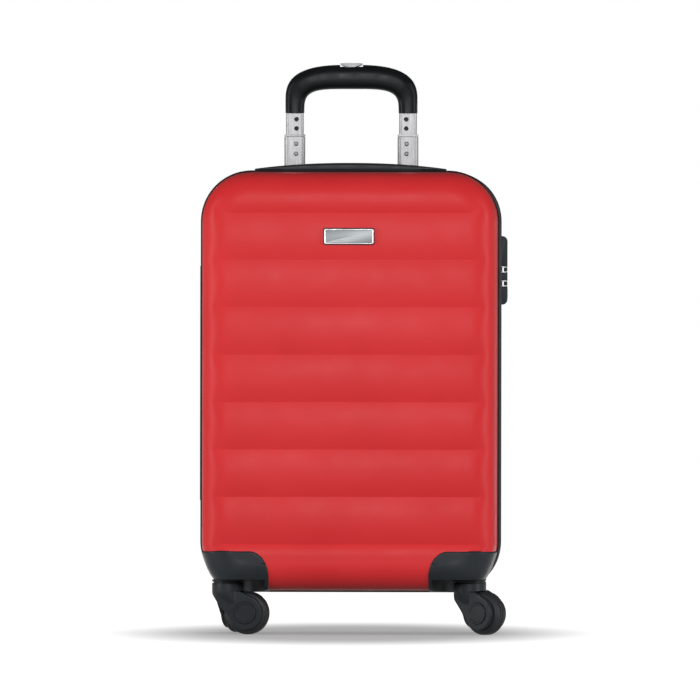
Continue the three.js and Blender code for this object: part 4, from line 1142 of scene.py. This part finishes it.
def straps():
    """Two crossed webbing straps and the buckle where they meet."""
    for word, y, sign in (("a", 5.0, 1), ("b", 2.6, -1)):
        x0, x1, z0, z1 = -150, 150, 295 - sign * 166, 295 + sign * 166
        run = np.array([x1 - x0, z1 - z0], float)
        length = np.linalg.norm(run)
        run /= length
        across = np.array([-run[1], run[0]])
        rings = []
        section = [(v, 0.55 + 0.1 * math.cos(v * 1.9)) for v in np.linspace(-12.4, 12.4, 27)]
        for s in np.linspace(0, length, 140):
            p = np.array([x0, z0]) + run * s
            sag = 0.12 * math.sin(s / 17)
            top = [(p[0] + across[0] * v, y - h + sag, p[1] + across[1] * v) for v, h in section]
            back = [(p[0] + across[0] * v, y + h + sag, p[1] + across[1] * v) for v, h in reversed(section)]
            rings.append(top + back)
        obj = loft(f"packing_strap_{word}_fine", rings, WEBBING, sharp=60)
        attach(obj, "case_rear")
        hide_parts(f"packing_strap_{word}")
    low, high = cad_box("strap_buckle")
    z = (low[2] + high[2]) / 2
    body = prism("strap_buckle_fine", rounded_rect(52, 32, 5, 0, z), low[1] + 0.2, high[1] - 0.2, BLACK)
    bevel(body, 1.6, 4, angle=50)
    cutters = []
    for s in (-1, 1):
        cutters.append(prism("c", rounded_rect(5, 20, 2, s * 19.5, z), low[1] - 3, high[1] + 3, BLACK))
        cutters.append(prism("c", rounded_rect(9, 3.4, 1.5, s * 6.5, z + 15.8), low[1] - 3, high[1] + 3, BLACK))
    boolean(body, cutters, sharp=35)
    plate = prism("plate", rounded_rect(52, 32, 5, 0, z), -1.8, 1.2, BLACK)
    bevel(plate, 1.1, 4, angle=50)
    boolean(plate, [prism("c", rounded_rect(30, 18, 4, 0, z), -3, -1.1, BLACK)], sharp=35)
    key = prism("key", rounded_rect(28.6, 16.6, 3.4, 0, z), -1.6, 1, BLACK)
    bevel(key, 0.5, 3, angle=50)
    ridges = [box("c", (x, x + 1.1), (-3, -1.2), (z - 5, z + 5), BLACK) for x in np.linspace(-8.6, 7.5, 5)]
    boolean(key, ridges, sharp=35)
    sides = [box("side", sorted((s * 20.5, s * 25.2)), (0.6, low[1] + 1.2), (z - 3, z + 3), BLACK) for s in (-1, 1)]
    boolean(body, [plate, key, *sides], "UNION", sharp=35)
    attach(body, "case_rear")
    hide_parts("strap_buckle")


# ---- CAD nodes that keep their shape ----
def finish_cad_nodes():
    looks = {
        BLACK: ["handle_base_bracket", "carry_mount_left", "carry_mount_right", "zip_pull_lower", "zip_pull_upper"],
        COLLAR: ["middle_collar_left", "middle_collar_right"],
        STEEL: ["lock_spindle", "release_yoke", "zip_slider_lower", "zip_slider_upper"],
    }
    for material, names in looks.items():
        for name in names:
            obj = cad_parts[name]
            obj.data.materials.clear()
            obj.data.materials.append(material)
            step = obj.modifiers.new("edges", "BEVEL")
            step.width = 0.25 * MM
            step.segments = 2
            step.limit_method = "ANGLE"
            step.angle_limit = math.radians(40)


# ---- stage ----
WORLD_FILL = 0.14


def area_light(name, place, target, size, power, color=(1, 1, 1)):
    data = bpy.data.lights.new(name, "AREA")
    data.shape = "RECTANGLE"
    data.size, data.size_y = size
    data.energy = power
    data.color = color
    obj = bpy.data.objects.new(name, data)
    bpy.context.scene.collection.objects.link(obj)
    obj.location = place
    obj.rotation_euler = (Vector(target) - Vector(place)).to_track_quat("-Z", "Y").to_euler()
    obj.visible_camera = False
    return obj


def floor_material():
    """A matt white floor that glows pure white away from the case and dims round it: a painted shadow streak under the
    case.
    """
    s = Surface("floor", (0.11, 0.11, 0.11), 0.9)
    gradient = s.node("ShaderNodeTexGradient", {"Vector": s.coordinates(scale=(2.9, 0.95, 1))}, gradient_type="SPHERICAL")
    # Emission falls from 1.0 far off to 0.29 at the case, painting the shadow streak under the wheels.
    painted_shadow_glow = s.ranged(gradient.outputs["Fac"], 1.0, 0.29, (0.0, 0.62), interpolation_type="SMOOTHSTEP")
    s.set(s.shader, {"Emission Color": (1, 1, 1, 1), "Specular IOR Level": 0.0})
    s.tree.links.new(painted_shadow_glow, s.shader.inputs["Emission Strength"])
    return s.material


def stage():
    size = 30000
    corners = [(-size, -size, 0), (size, -size, 0), (size, size, 0), (-size, size, 0)]
    floor = mesh_object("floor", corners, [(0, 1, 2, 3)], floor_material())
    floor.visible_diffuse = False
    only_floor = bpy.data.collections.new("floor_only")
    only_floor.objects.link(floor)

    world = bpy.data.worlds.new("studio")
    bpy.context.scene.world = world
    world.use_nodes = True
    tree = world.node_tree
    background = tree.nodes["Background"]
    path = tree.nodes.new("ShaderNodeLightPath")
    blend = tree.nodes.new("ShaderNodeMix")
    blend.inputs[2].default_value = WORLD_FILL
    blend.inputs[3].default_value = 1.0
    tree.links.new(path.outputs["Is Camera Ray"], blend.inputs[0])
    tree.links.new(blend.outputs[0], background.inputs["Strength"])
    background.inputs["Color"].default_value = (1, 1, 1, 1)

    area_light("key", (0, -3.0, 0.95), (0, 0, 0.32), (1.1, 0.6), 46)
    area_light("left_strip", (-1.5, -0.7, 0.45), (-0.1, 0, 0.32), (0.35, 1.2), 16)
    area_light("right_strip", (1.5, -0.7, 0.45), (0.1, 0, 0.32), (0.35, 1.2), 15)
    # Seen from the front, its reflection would draw a white line along every edge.
    area_light("back", (0, 3.0, 0.5), (0, 0, 0.33), (1.4, 0.9), 38).visible_glossy = False
    overhead = area_light("floor_light", (0, 0, 2.4), (0, 0, 0), (3, 3), 90)
    overhead.light_linking.receiver_collection = only_floor

    scene = bpy.context.scene
    scene.view_settings.view_transform = "Standard"
    scene.view_settings.look = "None"


def camera():
    """A very long lens level with the middle of the picture, just to the right of straight on."""
    distance, height, span = 20, 0.33075, 0.8167
    azimuth, roll = math.radians(0.8), math.radians(0.1)
    data = bpy.data.cameras.new("camera")
    data.sensor_width = 36
    data.lens = 36 * distance / span
    data.clip_end = 100
    obj = bpy.data.objects.new("camera", data)
    bpy.context.scene.collection.objects.link(obj)
    obj.location = (distance * math.sin(azimuth), -distance * math.cos(azimuth), height)
    look = Matrix.Rotation(azimuth, 4, "Z") @ Matrix.Rotation(math.pi / 2, 4, "X") @ Matrix.Rotation(roll, 4, "Z")
    obj.rotation_euler = look.to_euler()
    bpy.context.scene.camera = obj


camera()
for half_side in (-1, 1):
    shell(half_side)
    lining(half_side)
housings()
casters()
trims()
fabric_hinge()
handle_tubes()
grip()
release_button()
carry_handle()
handle_dock()
badge()
lock()
straps()
finish_cad_nodes()
stage()
